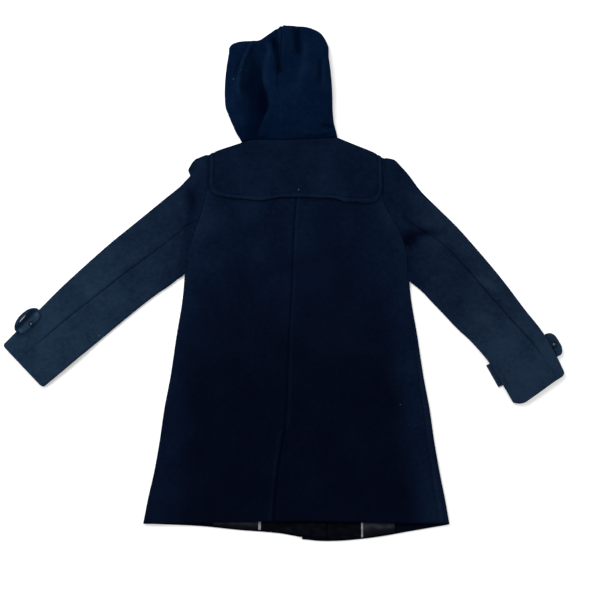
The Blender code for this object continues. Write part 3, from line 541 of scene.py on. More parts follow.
# the right front ends in the strip that shows beside the right side seam, level with the back
strip[..., 2] = LAYERS + back_relief(strip[..., 0], strip[..., 1])
strip = strip[:, ::-1]
sew("front_right", [front_right, arc, strip], [FRONT_TONE, body_tone(arc), body_tone(strip)], WOOL)

# ---------------------------------------------------------------------------------------------
# Inside of the fronts at the hem
# What shows below the back hem: the satin lining, a line of pale piping and the wool facing down each
# front edge. They are sewn to the fronts and run up between the layers.


def fine_cloth(name, dark, light, roughness, shine, fineness, bumps):
    """Close-woven cloth: dark and light mixed by clouds and by the slanting lines of its threads."""
    material, finish, add, where = new_material(name, roughness, shine)
    lines = {"Scale": fineness, "Distortion": 1.2, "Vector": where}
    lines = add("TexWave", lines, bands_direction="DIAGONAL").outputs["Fac"]
    cloud = add("TexNoise", {"Scale": 60, "Detail": 5, "Vector": where}).outputs["Fac"]
    mixed = add("Math", {0: lines, 1: 0.35, 2: cloud}, operation="MULTIPLY_ADD").outputs[0]
    tone = add("Attribute", {}, attribute_name="tone").outputs["Fac"]
    toned = add("Math", {0: mixed, 1: tone}, operation="MULTIPLY").outputs[0]
    shade = add("Mix", {"Factor": toned, "A": (*dark, 1), "B": (*light, 1)}, data_type="RGBA")
    bump = add("Bump", {"Strength": bumps, "Distance": 0.0006, "Height": mixed})
    finish({"Base Color": shade.outputs["Result"], "Normal": bump.outputs["Normal"]})
    return material


LINING = fine_cloth("lining_satin", (0.0014, 0.0016, 0.0032), (0.024, 0.026, 0.036), 0.5, 0.02, 120, 0.35)
PIPING = fine_cloth("piping_cord", (0.10, 0.10, 0.11), (0.30, 0.30, 0.33), 0.55, 0.3, 75, 0.5)
FACING = fine_cloth("facing_cloth", (0.0006, 0.0008, 0.0017), (0.0046, 0.0052, 0.0080), 0.9, 0.0, 150, 0.5)
STRIP_WALL = 1.0
SHOWS_AT = -496.0        # level in the middle of what shows below the back hem
LAP_LEFT, LAP_RIGHT = (float(front_edge(side, SHOWS_AT)) for side in (LEFT, RIGHT))


def hem_strip(name, side, start, end, columns, swell, material):
    """A strip on a front's inside between x = start and end: from 3 mm above the front hem up to the back
    hem, where it goes on underneath, or stops if the lap raises it that high."""
    x, share = np.linspace(start, end, columns), np.linspace(0, 1, 9)[:, None]
    raised = between(x, LAP_RIGHT - 13, LAP_RIGHT - 4) * (side == LEFT)
    low, high = front_hem(side, x) + 3.0, back_hem(x) + 1.5 - 2.1 * raised
    y = low + (high - low) * share
    edge = np.minimum(np.minimum(x - start, end - x), share * (high - low))
    z = CLOTH + 1.3 + 3.3 * raised + swell * (0.6 + 0.5 * ripple(x, 1.5 * y, 26, 90)) * between(edge, 0, 3)
    z = np.minimum(z, np.where(y > back_hem(x) - 1, 6.5 + 2 * raised, 99))
    tone = np.clip(0.7 + 0.6 * ripple(x, 2 * y, 26, 91), 0, 2)
    if material is LINING:
        # a fold of the satin catches the light along its upper half
        tone = 0.1 + 1.9 * tone * bell(share - 0.74, 0.24)
    sew(name, [grid_of(x, y, z)], [tone], material, wall=STRIP_WALL)


hem_strip("lining_left", LEFT, -173, -79, 60, 0.7, LINING)
hem_strip("piping_left", LEFT, -78.7, -73.3, 7, 0.9, PIPING)
hem_strip("facing_left", LEFT, -73, LAP_LEFT - 0.5, 50, 0.3, FACING)
hem_strip("facing_right", RIGHT, LAP_LEFT + 0.6, 134.7, 36, 0.3, FACING)
hem_strip("piping_right", RIGHT, 135, 139, 6, 0.9, PIPING)
hem_strip("lining_right", RIGHT, 139.3, 205, 44, 0.7, LINING)

# The underlap of the vent lies between the back and the fronts, as wide as a pleat.
UNDERLAP_HEIGHT = 6.3
level = np.linspace(HEM + 4.5, VENT_TOP, 60)[:, None]
underlap = grid_of(centre_back(level) + np.linspace(-38, 10, 13), level, UNDERLAP_HEIGHT)
sew("vent_underlap", [underlap], [0.05], WOOL)

# ---------------------------------------------------------------------------------------------
# Yoke
# A storm yoke: one more layer of the wool across the shoulders, free along its scalloped lower edge, which
# is turned in and topstitched 9 mm from the edge. It goes over the shoulder folds and into the neck seam.
STITCHED = 9.0
YOKE_RISE = 0.6          # mm, how far the yoke stands clear of the back


def facing_out(grid):
    """Unit normals of a grid of points, from the cross product of its two directions."""
    across = np.cross(np.gradient(grid, axis=1), np.gradient(grid, axis=0))
    return across / np.maximum(np.linalg.norm(across, axis=-1, keepdims=True), 1e-9)


share = np.unique(np.concatenate([NEAR_SEAM * 0.72, 1 - NEAR_SEAM * 0.72, np.linspace(0, 1, 80)[4:-4]]))
x = YOKE_X[0] + (YOKE_X[-1] - YOKE_X[0]) * share
up = np.unique(np.concatenate([NEAR_SEAM * 2.4, np.linspace(0, 1, 30)[3:]]))[:, None]
roll = np.linspace(0, np.pi / 2, 7)[1:, None]
low_line, top_line = easy_curve(x, YOKE_X, YOKE_Y), shoulder_line(x) - SHOULDER_ROLL
y = np.concatenate([low_line + (top_line - low_line) * up, top_line + SHOULDER_ROLL * np.sin(roll)])
x, angle = np.broadcast_arrays(x, np.concatenate([0 * up, roll]))
edge = yoke_edge_distance(x, y)
height = YOKE_RISE + CLOTH + 0.8 * between(edge, STITCHED + 7, STITCHED) - 1.3 * bell(edge - STITCHED, 1.5)
height += 0.5 * ripple(x, y, 90, 31) - 1.5 * between(edge, 3.2, 0) ** 2
height -= 2.4 * between(edge, 22, 2) * between(angle, 0, 0.9)
height += folds(x, y, [([(-182, 300), (-120, 282), (-60, 290)], 0.8, 14)])
height -= between(np.abs(shoulder_line(x) - y), 4, 0) * between(x, -98, -90) * between(x, 88, 80)
yoke = on_back(x, y, angle)
yoke += height[..., None] * facing_out(yoke)
# painted light on the raised border outside the stitching, and painted shade in the stitch line's groove
tone = 0.175 + 0.08 * between(edge, STITCHED + 1, STITCHED - 2) + 0.03 * ripple(x, y, 120, 33)
sew("yoke_back", [yoke], [tone * (1 - 0.6 * bell(edge - STITCHED, 1.4))], WOOL)

# ---------------------------------------------------------------------------------------------
# Sleeves
# Two-piece sleeves, each a flattened tube set into its armhole: a top panel outside and an under panel
# inside, joined by the seam that shows on the flat and by another underneath. Lined with the satin.

# each ring's outer edge x and y, inner edge x and y, and how high the strap underneath lifts the sleeve
SLEEVE = {
    LEFT: [(-203, 338, -247, 58, 0), (-229, 329, -251, 54, 0), (-244, 307, -256, 50, 0),
           (-248, 290, -262, 46, 0), (-258, 268, -270, 39, 0), (-300, 230, -284, 28, 0),
           (-355, 181, -304, 14, 0), (-415, 128, -334, -10, 0), (-474, 71, -378, -48, 0),
           (-525, 19, -423, -88, 0), (-566, -29, -468, -129, 4.7), (-608, -73, -513, -169, 4.5),
           (-637, -103, -544, -196, 2.5)],
    RIGHT: [(201, 330, 249, 42, 0), (222, 327, 253, 38, 0), (241, 307, 258, 34, 0), (256, 288, 264, 29, 0),
            (281, 251, 272, 22, 0), (316, 213, 281, 13, 0), (363, 162, 294, -2, 0), (413.5, 99, 320, -31, 0),
            (457, 41, 350, -65, 0), (499, -21, 383, -98, 0), (535, -74, 419, -146, 4.7),
            (563, -129, 449, -201, 4.5), (581, -168, 471, -240, 2.5)]}
# where the seam runs across the upper flat, from the outer edge: ring number, share of the width
SLEEVE_SEAM = {
    LEFT: [(0, 0.565), (1, 0.575), (2, 0.555), (3, 0.53), (4, 0.508), (6, 0.503), (8, 0.47), (10, 0.405),
           (12, 0.385)],
    RIGHT: [(0, 0.48), (1, 0.485), (2, 0.47), (3, 0.44), (4, 0.39), (6, 0.305), (8, 0.295), (10, 0.235),
            (11, 0.175), (12, 0.15)]}
SEAM_OPENS = {LEFT: (0, 0.6), RIGHT: (2.6, 4.2)}      # ring numbers over which the seam comes to show
FRONT_SEAM = 0.80        # share of the width at which the seam underneath runs
# shares of the way from an edge to the seam at which the upper flat has its points
TO_SEAM = np.array([0, .02, .045, .075, .11, .16, .22, .30, .39, .50, .60, .69, .77, .84, .90, .945, .975,
                    .992, 1])
# folds that run in from the underarm and the sleeve head and down the arm
SLEEVE_FOLDS = {LEFT: [
    ([(-246, 268), (-238, 240), (-226, 206)], -3.0, 9), ([(-228, 300), (-224, 262), (-214, 232)], 1.6, 8),
    ([(-262, 250), (-254, 215), (-244, 178)], 2.0, 9), ([(-240, 168), (-262, 140), (-300, 112)], 1.4, 12),
    ([(-248, 100), (-275, 80), (-312, 58)], 1.6, 10), ([(-340, 112), (-400, 60), (-470, -10)], 1.0, 16),
    ([(-430, -30), (-480, -62), (-520, -110)], -1.0, 14)], RIGHT: [
    ([(228, 106), (240, 130), (262, 149), (300, 154), (346, 151)], -6.0, 7),
    ([(238, 108), (262, 120), (300, 128), (350, 124)], 3.4, 10),
    ([(240, 162), (262, 180), (306, 178)], 2.4, 9), ([(238, 200), (252, 176), (262, 160)], -3.0, 6),
    ([(240, 102), (247, 80), (250, 56)], -2.4, 4), ([(254, 86), (285, 62), (320, 30)], 1.6, 10),
    ([(222, 250), (248, 226), (275, 200)], 1.6, 12), ([(370, 52), (408, 40), (446, 18)], 1.4, 9),
    ([(360, 10), (420, -60), (465, -130)], 1.0, 14), ([(470, -60), (500, -110), (520, -160)], -1.0, 12)]}
CUFF_RING = 40.0         # mm from the last ring but one down to the cuff corner, along the outer edge
CUFF_ROUND = {LEFT: (9, 8), RIGHT: (13, 26)}      # mm, how far the outer and inner corners are rounded
# the left strap's tab where it lies on the sleeve: its outline up the sleeve and outward, round which the
# sleeve gets a painted shadow
TAB_UP, TAB_OUT = np.array([(100, 1), (99, -11), (88, -18), (77, -21.5), (65, -23), (50, -21.5), (42, -14),
                            (39, 1)]).T


def seam_share(side, row):
    """Where the sleeve's seam runs across the upper flat at a ring."""
    return easy_curve(row, *np.array(SLEEVE_SEAM[side]).T)


def seam_depth(side, row):
    """How sharply the seam shows: lost in the folds at the right sleeve head, pressed flat at the cuffs."""
    return between(row, *SEAM_OPENS[side]) * (1 - 0.75 * between(row, 10.0, 11.3))


def sleeve_relief(side, flat, share, row, width):
    """How far the sleeve's upper flat stands off: a low crown, slow swells, the folds, and the grooves of
    its seam and of the armhole."""
    x, y = flat[..., 0], flat[..., 1]
    from_edge = np.minimum(share, 1 - share) * width
    swell = 1.6 + 1.2 * ripple(x, y, 120, 40 + side) + 0.5 * ripple(x, y, 46, 50 + side)
    height = swell * between(from_edge, 0, 22) * between(row, 0.0, 1.6)
    height += folds(x, y, SLEEVE_FOLDS[side]) * between(from_edge, 0, 9) * between(row, -0.1, 0.5)
    gap = (share - seam_share(side, row)) * width
    height += (0.6 * bell(np.abs(gap) - 6, 4) - 1.5 * bell(gap, 2.0)) * seam_depth(side, row)
    return height - bell(row, 0.1)


def at_cuff(side, p, q, z):
    """Points p up the sleeve's outer edge from the cuff corner, q outward from it, at height z."""
    low, high = (np.array(SLEEVE[side][n][:2], float) for n in (-2, -3))
    up_x, up_y = (high - low) / np.linalg.norm(high - low)
    p, q = p - CUFF_RING, q * side
    return grid_of(low[0] + p * up_x + q * up_y, low[1] + p * up_y - q * up_x, z)


TAB = at_cuff(LEFT, TAB_UP, TAB_OUT, 0)[:, :2]


def sleeve_tone(side, grid, number):
    """Tone of a sleeve, with painted light and shade: as the body at the armhole and painted lighter down
    the arm, painted shade where folds close, a painted shadow round the left strap's tab, painted light on
    the folds' backs and painted shade along the armhole seam."""
    x, y = grid[..., 0], grid[..., 1]
    # painted light: the sleeve lightens down the arm; painted shade where folds close near the armpit
    if side == LEFT:
        tone = 0.20 + 0.14 * between(number, 1.5, 5) + 0.55 * between(number, 4, 10.5)
        tone = tone - 0.15 * bell(x + 240, 16) * bell(y - 232, 30)
        tone = tone + 0.09 * bell(x + 216, 18) * bell(y - 316, 20)
        # painted shadow on the sleeve round the left strap's tab
        tone = tone * (1 - 0.5 * bell(reach(x, y, TAB)[0], 3.2) * between(grid[..., 2], 8, 12))
    else:
        tone = 0.18 + 0.13 * between(number, 2, 5.5) + 0.55 * between(number, 6, 11.5)
        tone = tone - 0.30 * bell(x - 253, 19) * bell(y - 134, 15)
        tone = tone + 0.12 * folds(x, y, [([(380, 50), (412, 38), (446, 20)], 1, 8)])
    tone = np.maximum(tone * (1 + 0.10 * ripple(x, y, 110, 60 + side)), 0.01)
    # painted light on the folds' backs and painted shade in their creases
    on_fold = np.clip(1 + 0.13 * folds(x, y, SLEEVE_FOLDS[side]), 0.3, 1.4)
    # painted shade along the armhole seam
    return tone * on_fold * (1 - 0.5 * bell(number * 26, 1.6))


def sleeve_rings(side):
    """Closed rings of outer points from armhole to cuff. Round a ring: the outer fold from its edge up to
    the top flat, the top flat with its seam, the inner fold, and the bottom flat back to the outer edge."""
    number = np.concatenate([[0, 0.02, 0.06, 0.12, 0.2, 0.32, 0.46, 0.62, 0.8], np.linspace(1, 11, 96),
                             [11.25, 11.5, 11.7, 11.85, 11.93, 11.97, 12]])[:, None]
    ox, oy, ix, iy, lift = (easy_curve(np.maximum(number, 1), np.arange(13), measure)
                            for measure in np.array(SLEEVE[side], float).T)
    outer, inner, lift = np.stack([ox, oy], axis=-1), np.stack([ix, iy], axis=-1), np.maximum(lift, 0)
    width = np.linalg.norm(inner - outer, axis=-1)
    across = (inner - outer) / width[..., None]
    seam = seam_share(side, number)
    top = np.concatenate([seam * TO_SEAM, (seam + (1 - seam) * (1 - TO_SEAM[::-1]))[:, 1:]], axis=1)
    low = FRONT_SEAM * (1 - np.linspace(0, 1, 19)[1:]) ** 1.6
    low = np.concatenate([np.linspace(1, FRONT_SEAM, 5), low])

    # the outer fold turns square to the outline, and the flat eases from there to the ring's own direction
    run = np.gradient(outer[:, 0], axis=0)
    run[number[:, 0] < 1.05] = run[number[:, 0] >= 1.05][0]
    square = side * np.stack([run[:, 1], -run[:, 0]], axis=-1) / np.linalg.norm(run, axis=1)[:, None]
    square = square[:, None]

    def ring_flat(share, height):
        """A flat at shares of its width: straight from fold to fold, swung square to the outline by a
        distance that eases up to 24 mm past the fold's radius, times the share left, squared."""
        bend = FOLD + 24 * (1 - np.exp(-share * width / 24))
        spot = outer + across * (FOLD + (width - 2 * FOLD) * share)[..., None]
        spot = spot + (square - across) * (bend * (1 - share) ** 2)[..., None]
        return grid_of(spot[..., 0], spot[..., 1], height + lift)

    def ring_fold(edge, inward, angles):
        """A fold at angles above the level of its middle: part of a circle of radius FOLD."""
        spot = edge + inward * (FOLD * (1 - np.cos(angles)))[:, None]
        return grid_of(spot[..., 0], spot[..., 1], FOLD * (1 + np.sin(angles)) + lift)

    quarter, half_turn = np.radians(np.linspace(0, 90, 7)), np.radians(np.linspace(90, -90, 13)[1:-1])
    rings = np.concatenate([ring_fold(outer, square, quarter[:-1]), ring_flat(top, LAYERS),
                            ring_fold(inner, -across, half_turn), ring_flat(low, 0),
                            ring_fold(outer, square, -quarter[-2:0:-1])], axis=1)
    top_at = len(quarter) - 1
    fold_at = top_at + top.shape[1]
    low_at = fold_at + len(half_turn)
    on_top, in_fold = np.s_[:, top_at:fold_at], np.s_[fold_at:low_at]

    # ring 0 is the armhole itself, and the sleeve eases out of it over the first ring
    corner, start = CORNER[side], SHOULDER_TIP[side][1] - SHOULDER_ROLL
    rolled, drop = start + SHOULDER_ROLL * np.cos(quarter), corner - start
    y = np.concatenate([rolled[:-1], start + drop * top[0], corner - 2 * FOLD * np.cos(half_turn),
                        start + drop * low, rolled[-2:0:-1]])
    x = side_line(side, np.maximum(y, corner + 1e-6))
    x[in_fold] += side * FOLD * np.cos(half_turn)
    ease = np.clip(number, 0, 1)[..., None]
    rings = grid_of(x, y, rings[0, :, 2]) * (1 - ease) + rings * ease
    if side == LEFT:
        rings[..., 0] += 7.0 * bell(rings[..., 1] - 288, 8.5) * bell(rings[..., 0] + 247, 27)
    rings[on_top][..., 2] += sleeve_relief(side, rings[on_top], top, number, width)
    # the sleeve head stands up as high as the yoke beside it
    rings[..., 1] += 2.0 * between(rings[..., 1], 296, 332) * bell(np.abs(rings[..., 0]) - 208, 14)
    # the cuff's two corners are a little rounded
    back = 0
    for edge, wide in zip((outer, inner), CUFF_ROUND[side]):
        near = np.clip(1 - np.linalg.norm(rings[..., :2] - edge, axis=-1) / wide, 0, 1)
        back = np.maximum(back, 0.6 * wide * near ** 2 * between(number, 11, 12))
    way = (outer[-1, 0] + inner[-1, 0]) - (outer[-30, 0] + inner[-30, 0])
    rings[..., :2] -= back[..., None] * way / np.linalg.norm(way)
    tone = sleeve_tone(side, rings, number)
    # painted shade in the seam's groove, and on the right sleeve a band lighter on the seam's outer side
    tone[on_top] *= 1 - 0.6 * seam_depth(side, number) * bell((top - seam) * width, 1.5)
    if side == RIGHT:
        outside = between(seam - top, 0.0, 0.12)
        tone[on_top] += 0.16 * outside * between(number, 3.6, 5) * between(number, 9, 7)
    return rings, tone, top_at + len(TO_SEAM) - 1, low_at + 4


SLEEVE_WALL = 2.2        # mm, wool and satin
for side, word in ((LEFT, "left"), (RIGHT, "right")):
    rings, tone, seam_at, front_at = sleeve_rings(side)
    count = rings.shape[1]
    for part, columns in (("top", np.arange(front_at, count + seam_at + 1) % count),
                          ("under", np.arange(seam_at, front_at + 1))):
        columns, part = columns[::side], word + "_" + part
        sleeve = sew("sleeve_" + part, [rings[:, columns]], [tone[:, columns]], WOOL, wall=SLEEVE_WALL)
        sleeve.data.materials.append(LINING)
        sleeve.modifiers["wall"].material_offset = 1

# ---------------------------------------------------------------------------------------------
# Cuff straps
# A double strap goes round each cuff, through a narrow wool carrier on the outer edge, and ends in a
# rounded tab with a small dark button sewn on through its eyes.
STRAP = 4.0              # mm thick
STRAP_MIDDLE = {LEFT: 72.4, RIGHT: 67.0}      # how far up the sleeve's outer edge the middle lies
STRAP_HALF = {LEFT: 28.4, RIGHT: 27.0}        # half its width
FOLD_AXIS = 4.7 + FOLD                        # height of the cuff fold's middle
STRAP_TURN = 7.1                              # radius at which the left strap goes round it
# painted light and shade on the straps: a painted highlight on the left strap's raised ridge and painted
# shade where it turns steeply round the edge, and painted light where the right strap lies in the sleeve's
# shade: distance out from the edge, share of their tone
STRAP_PAINTED_LIGHT = {LEFT: ((-16, -12, -7, -4, -2.5, 2), (1.0, 1.25, 1.5, 1.0, 0.25, 0.2)),
               RIGHT: ((-120, -60, -1, 1.5, 5), (1.5, 1.0, 1.2, 1.2, 1.0))}


def along_path(points, count):
    """A smooth curve through points, at even distances, which come with it, and its unit ways forward."""
    points = np.array(points, float)
    length = np.concatenate([[0], np.cumsum(np.linalg.norm(np.diff(points, axis=0), axis=1))])
    at = np.linspace(0, length[-1], count)
    path = np.stack([easy_curve(at, length, measure) for measure in points.T], axis=-1)
    ahead = np.gradient(path, axis=0)
    return path, at, ahead / np.linalg.norm(ahead, axis=1)[:, None]


def end_round(at, radius):
    """Half-round ends: 0 at both ends of the distances at, 1 beyond radius from them."""
    gap = np.minimum(at, at[-1] - at)
    return np.sqrt(np.clip(1 - (1 - np.clip(gap / radius, 0, 1)) ** 2, 0.02, 1))


def rounded_band(side, name, middle, wide, thick_way, half_wide, half_thick, tone, square, swell=(0, 0),
                 material=WOOL):
    """A strap or carrier in cuff measures (p, q, z): a rounded oblong section carried along middle. wide and
    thick_way are unit ways across it, and both ends close. square is the power of its corners, smaller is
    squarer. Where it turns round the sleeve's edge it swells outward by swell mm at its low and high p."""
    turn = np.linspace(0, 2 * np.pi, 33)
    c, s = (np.sign(wave) * np.abs(wave) ** square for wave in (np.cos(turn), np.sin(turn)))
    ring = (middle[:, None] + wide[:, None] * (half_wide[:, None] * c)[..., None]
            + thick_way[:, None] * (half_thick[:, None] * s)[..., None])
    middle = np.pad(middle, ((1, 1), (0, 0)), mode="edge")
    ends = np.repeat(middle[:, None], len(turn), axis=1)
    p, q, z = np.moveaxis(np.concatenate([ends[:1], ring, ends[-1:]]), -1, 0)
    out = (min(swell) + swell[0] * between(p, 64, 52)) / 2
    out = out + swell[1] * between(p, 67, 79) * (1 - 0.5 * between(p, 88, 100))
    grid = at_cuff(side, p, q + out * between(q, -FOLD, 3), z)
    way = np.cross(grid[1:-1, 1] - grid[1:-1, 0], grid[1:-1, 9] - grid[1:-1, 0])
    if (way * np.gradient(grid[1:-1].mean(axis=1), axis=0)).sum() < 0:
        grid, c = grid[:, ::-1], c[::-1]
    tip = between(np.linalg.norm(middle - middle[-1], axis=-1), 9, 4)[:, None]
    # painted light along the band's two edges and its end, as on a raised rim, and painted shade down its
    # middle
    painted_rim_light = 0.78 + 0.34 * np.maximum(between(np.abs(c), 0.62, 0.86), tip)
    tone = np.pad(tone, (1, 1), mode="edge")[:, None] * painted_rim_light
    sew(name, [grid], [tone], material, wall=0)


# the left strap's wool: a lighter copy of the navy wool, so that the painted highlight on its raised ridge
# can go paler
STRAP_LIT_WOOL = wool_material("navy_wool_lit", [
    (0.0, (0.0010, 0.0020, 0.0060)), (1.0, (0.0230, 0.0460, 0.0730)),
    (0.25, (0.0045, 0.0110, 0.0240)), (0.6, (0.0112, 0.0245, 0.0462))])


def strap(side, word, points, tip, narrow, swell, tone):
    """A cuff strap along a path of (q, z), about 55 mm wide, the end with the tab rounded: it narrows by a
    share over the last tip mm."""
    path, at, ahead = along_path(points, 90)
    path[:, 1] = np.maximum(path[:, 1], STRAP / 2 + 0.05)
    middle = np.insert(path, 0, STRAP_MIDDLE[side], axis=1)
    thick_way = np.column_stack([0 * at, -ahead[:, 1], ahead[:, 0]])
    wide = np.repeat([[1.0, 0.0, 0.0]], len(path), axis=0)
    half_wide = STRAP_HALF[side] * (1 - narrow * np.clip(1 - (at[-1] - at) / tip, 0, 1) ** 2.5)
    half_thick = STRAP / 2 * end_round(at, STRAP / 2)
    # painted light and shade along the strap, on the left strap only above the fold
    shade = np.interp(path[:, 0], *STRAP_PAINTED_LIGHT[side])
    if side == LEFT:
        shade = 1 + (shade - 1) * (path[:, 1] > FOLD_AXIS)
    rounded_band(side, "strap_" + word, middle, wide, thick_way, half_wide, half_thick, tone * shade, 0.3,
                 swell, STRAP_LIT_WOOL if side == LEFT else WOOL)


arc = np.radians((-90, -60, -30, 0, 30, 60, 90))
strap(LEFT, "left", [(-100, 2), (-75, 2), (-50, 2), (-25, 2)]
      + [(-FOLD + STRAP_TURN * math.cos(a), FOLD_AXIS + STRAP_TURN * math.sin(a)) for a in arc]
      + [(-12, 16.6), (-15, 16.6), (-18.5, 16.5)], 10, 0.35, (6.0, 8.0), 0.57)
cuff_width = float(np.hypot(*np.subtract(SLEEVE[RIGHT][-2][:2], SLEEVE[RIGHT][-2][2:4])))
strap(RIGHT, "right", [(-cuff_width - 9, 2), (-cuff_width - 3, 2), (-60, 2), (-30, 2), (-8, 2), (-2, 2.2),
                       (1.8, 4.0), (3.2, 6.6), (5.6, 8.6), (9.5, 9.2), (14, 9.2), (20.3, 9.2)],
      12.5, 0.5, (0, 0), 0.85)

CARRIER_TONE = 0.85


def carrier(side, word, points, lean, half_wide, half_thick, z):
    """The band that carries the strap: its middle line is a path of (p, q) at height z, and its width leans
    outward and down by lean from upright, less where its ends are sewn in."""
    path, at, ahead = along_path(points, 80)
    normal = np.stack([ahead[:, 1], -ahead[:, 0]], axis=-1)
    normal *= np.sign(normal[len(path) // 2, 1])
    lean = np.radians(lean) * between(np.minimum(at, at[-1] - at), 0, 10)[:, None]
    middle = np.column_stack([path, z + 0 * at])
    wide = np.concatenate([-normal * np.sin(lean), np.cos(lean)], axis=1)
    thick_way = np.concatenate([normal * np.cos(lean), np.sin(lean)], axis=1)
    ends = end_round(at, half_thick)
    rounded_band(side, "loop_" + word, middle, wide, thick_way, half_wide * (0.8 + 0.2 * ends),
                 half_thick * ends, 0 * at + CARRIER_TONE, 0.5)


carrier(LEFT, "left", [(101.6, -3), (102.4, 4), (95.5, 12.5), (85, 16.8), (62, 16.8), (48.5, 10.8), (43, 4),
                       (42, -3)], 58, 5.0, 1.6, 7.6)
carrier(RIGHT, "right", [(94, 0.8), (93, 9), (88, 16.4), (80, 19.6), (66, 20.2), (52.5, 18.8), (45.5, 13),
                         (42.8, 6.5), (41.3, 0.5)], 0, 3.0, 1.0, 8.0)

# Dark horn with a dull polish, navy-black and clouded a little lighter, sewn on with thread that is painted
# pale for the small highlight it catches.
HORN = plain_material("button_horn", (0.005, 0.014, 0.027), 0.42, 0.04, 260, (0.0018, 0.0065, 0.0135))
LIT_THREAD = plain_material("button_thread_lit", (0.07, 0.105, 0.15), 0.9)
THREAD_REACH = 1.5       # mm from the button's middle
# half of a button's outline from the middle of its foot to the dish of its face: share of radius and height
TURNED = np.array([(0, 0), (0.62, 0), (0.86, 0.06), (0.98, 0.25), (1, 0.5), (0.98, 0.78), (0.92, 0.95),
                   (0.85, 1), (0.78, 0.96), (0.7, 0.84), (0.58, 0.76), (0.3, 0.72), (0, 0.71)])


def button(name, side, p, q, low, radius, thick):
    """A round button turned with a raised rim and a dished face: its outline carried round a circle."""
    around = np.linspace(0, 2 * np.pi, 49)
    centre = at_cuff(side, p, q, low)
    out, up = radius * TURNED[:, :1], thick * TURNED[:, 1:]
    grid = centre + grid_of(out * np.cos(around), out * np.sin(around), up)
    piece = sew(name, [grid], [0.3], HORN, wall=0)
    # the thread that sews it on shows over the middle, painted pale for its highlight
    piece.data.materials.append(LIT_THREAD)
    spots = np.zeros(3 * len(piece.data.polygons))
    piece.data.polygons.foreach_get("center", spots)
    off = np.linalg.norm(spots.reshape(-1, 3) - to_row(centre + [0, 0, 0.72 * thick]), axis=1)
    piece.data.polygons.foreach_set("material_index", (off < THREAD_REACH * MM).astype(np.int32))


button("button_left", LEFT, 73.5, -13.6, 18.6, 5.5, 2.5)
button("button_right", RIGHT, 67, 7.2, 11.1, 7.5, 3.0)

# ---------------------------------------------------------------------------------------------
# Hood
# A two-piece hood of the same wool, seamed over the crown and sewn to the neck. It lies half on its left
# side: a high mound, a deep fold and hollow left of it, and a low lobe that turns under at the edge.
# levels, and x of the left and the right edge there
HOOD_LEVEL = (383, 393, 405, 430, 455, 478, 505, 540, 575, 600)
HOOD_LEFT = (-125, -129, -136, -147, -156.5, -163, -165.5, -166, -163, -158)
HOOD_RIGHT = (93, 92, 90, 86, 84, 83, 83, 82, 79, 75)
FOOT = 12.9              # height of the neck seam
# the hood's lengthwise lines from left to right: x at each level
HOOD_X = (
    (-116, -119, -124, -137, -150, -153, -153, -152, -149, -144),
    (-106, -108, -112, -121, -131, -137, -136, -128, -120, -108),
    (-98, -98, -98, -97, -93, -99, -101, -97, -96, -92),
    (-91.5, -89.5, -87.5, -77, -65.5, -69.5, -77, -82, -81, -78),
    (-84, -82, -79, -69, -57.5, -61.5, -66, -62, -56, -52),
    (-62, -62, -61, -54, -48, -53, -56, -52, -48, -44),
    (-28, -28.5, -29, -30, -31, -42, -43, -37, -34, -34),
    (0, 0, 0, 0, 0, -4, -5, -3, 0, 0),
    (28, 28, 28, 26, 24, 22, 22, 22, 22, 20),
    (78, 72, 64, 54, 52, 51, 50, 49, 46, 44))
# and their height at each level
HOOD_Z = (
    (FOOT, 13, 14, 15, 17, 19, 21, 23, 25, 25),
    (FOOT, 13.2, 14, 16, 20, 24, 28, 30, 32, 33),
    (FOOT, 12.9, 12.5, 12, 11, 10.8, 11, 13, 21, 33),
    (FOOT, 13, 13, 12.5, 11.5, 11.5, 12, 15, 25, 37),
    (FOOT, 18, 26, 36, 42, 45, 47, 46, 44, 43),
    (FOOT, 20, 28, 38, 44, 48, 50, 49, 44, 40),
    (FOOT, 20, 28, 38, 44, 48, 50, 51, 51, 49),
    (FOOT, 20, 28, 38, 44, 48, 50, 51, 50, 46),
    (FOOT, 20, 28, 37, 43, 46, 48, 49, 49, 47),
    (FOOT, 20, 27, 35, 40, 43, 45, 46, 46, 45))
EDGE_STEPS = np.radians((0, 30, 60))         # steps up each rounded side edge to the first line
HOOD_SEAM = len(EDGE_STEPS) + 6              # the line that is the seam over the crown
# the top edge from left to right
TOP_X, TOP_Y = np.array([
    (-168, 576), (-162, 595), (-156, 607), (-147, 614), (-98, 618), (-85, 621), (-63, 637), (-38, 653),
    (-21, 655), (15, 653), (38, 647), (60, 633), (72, 614), (80, 592), (84, 570)], float).T
EDGE_HEIGHT, UNDER_TURN = 9.0, 6.5           # the edge's height, and how far it turns under


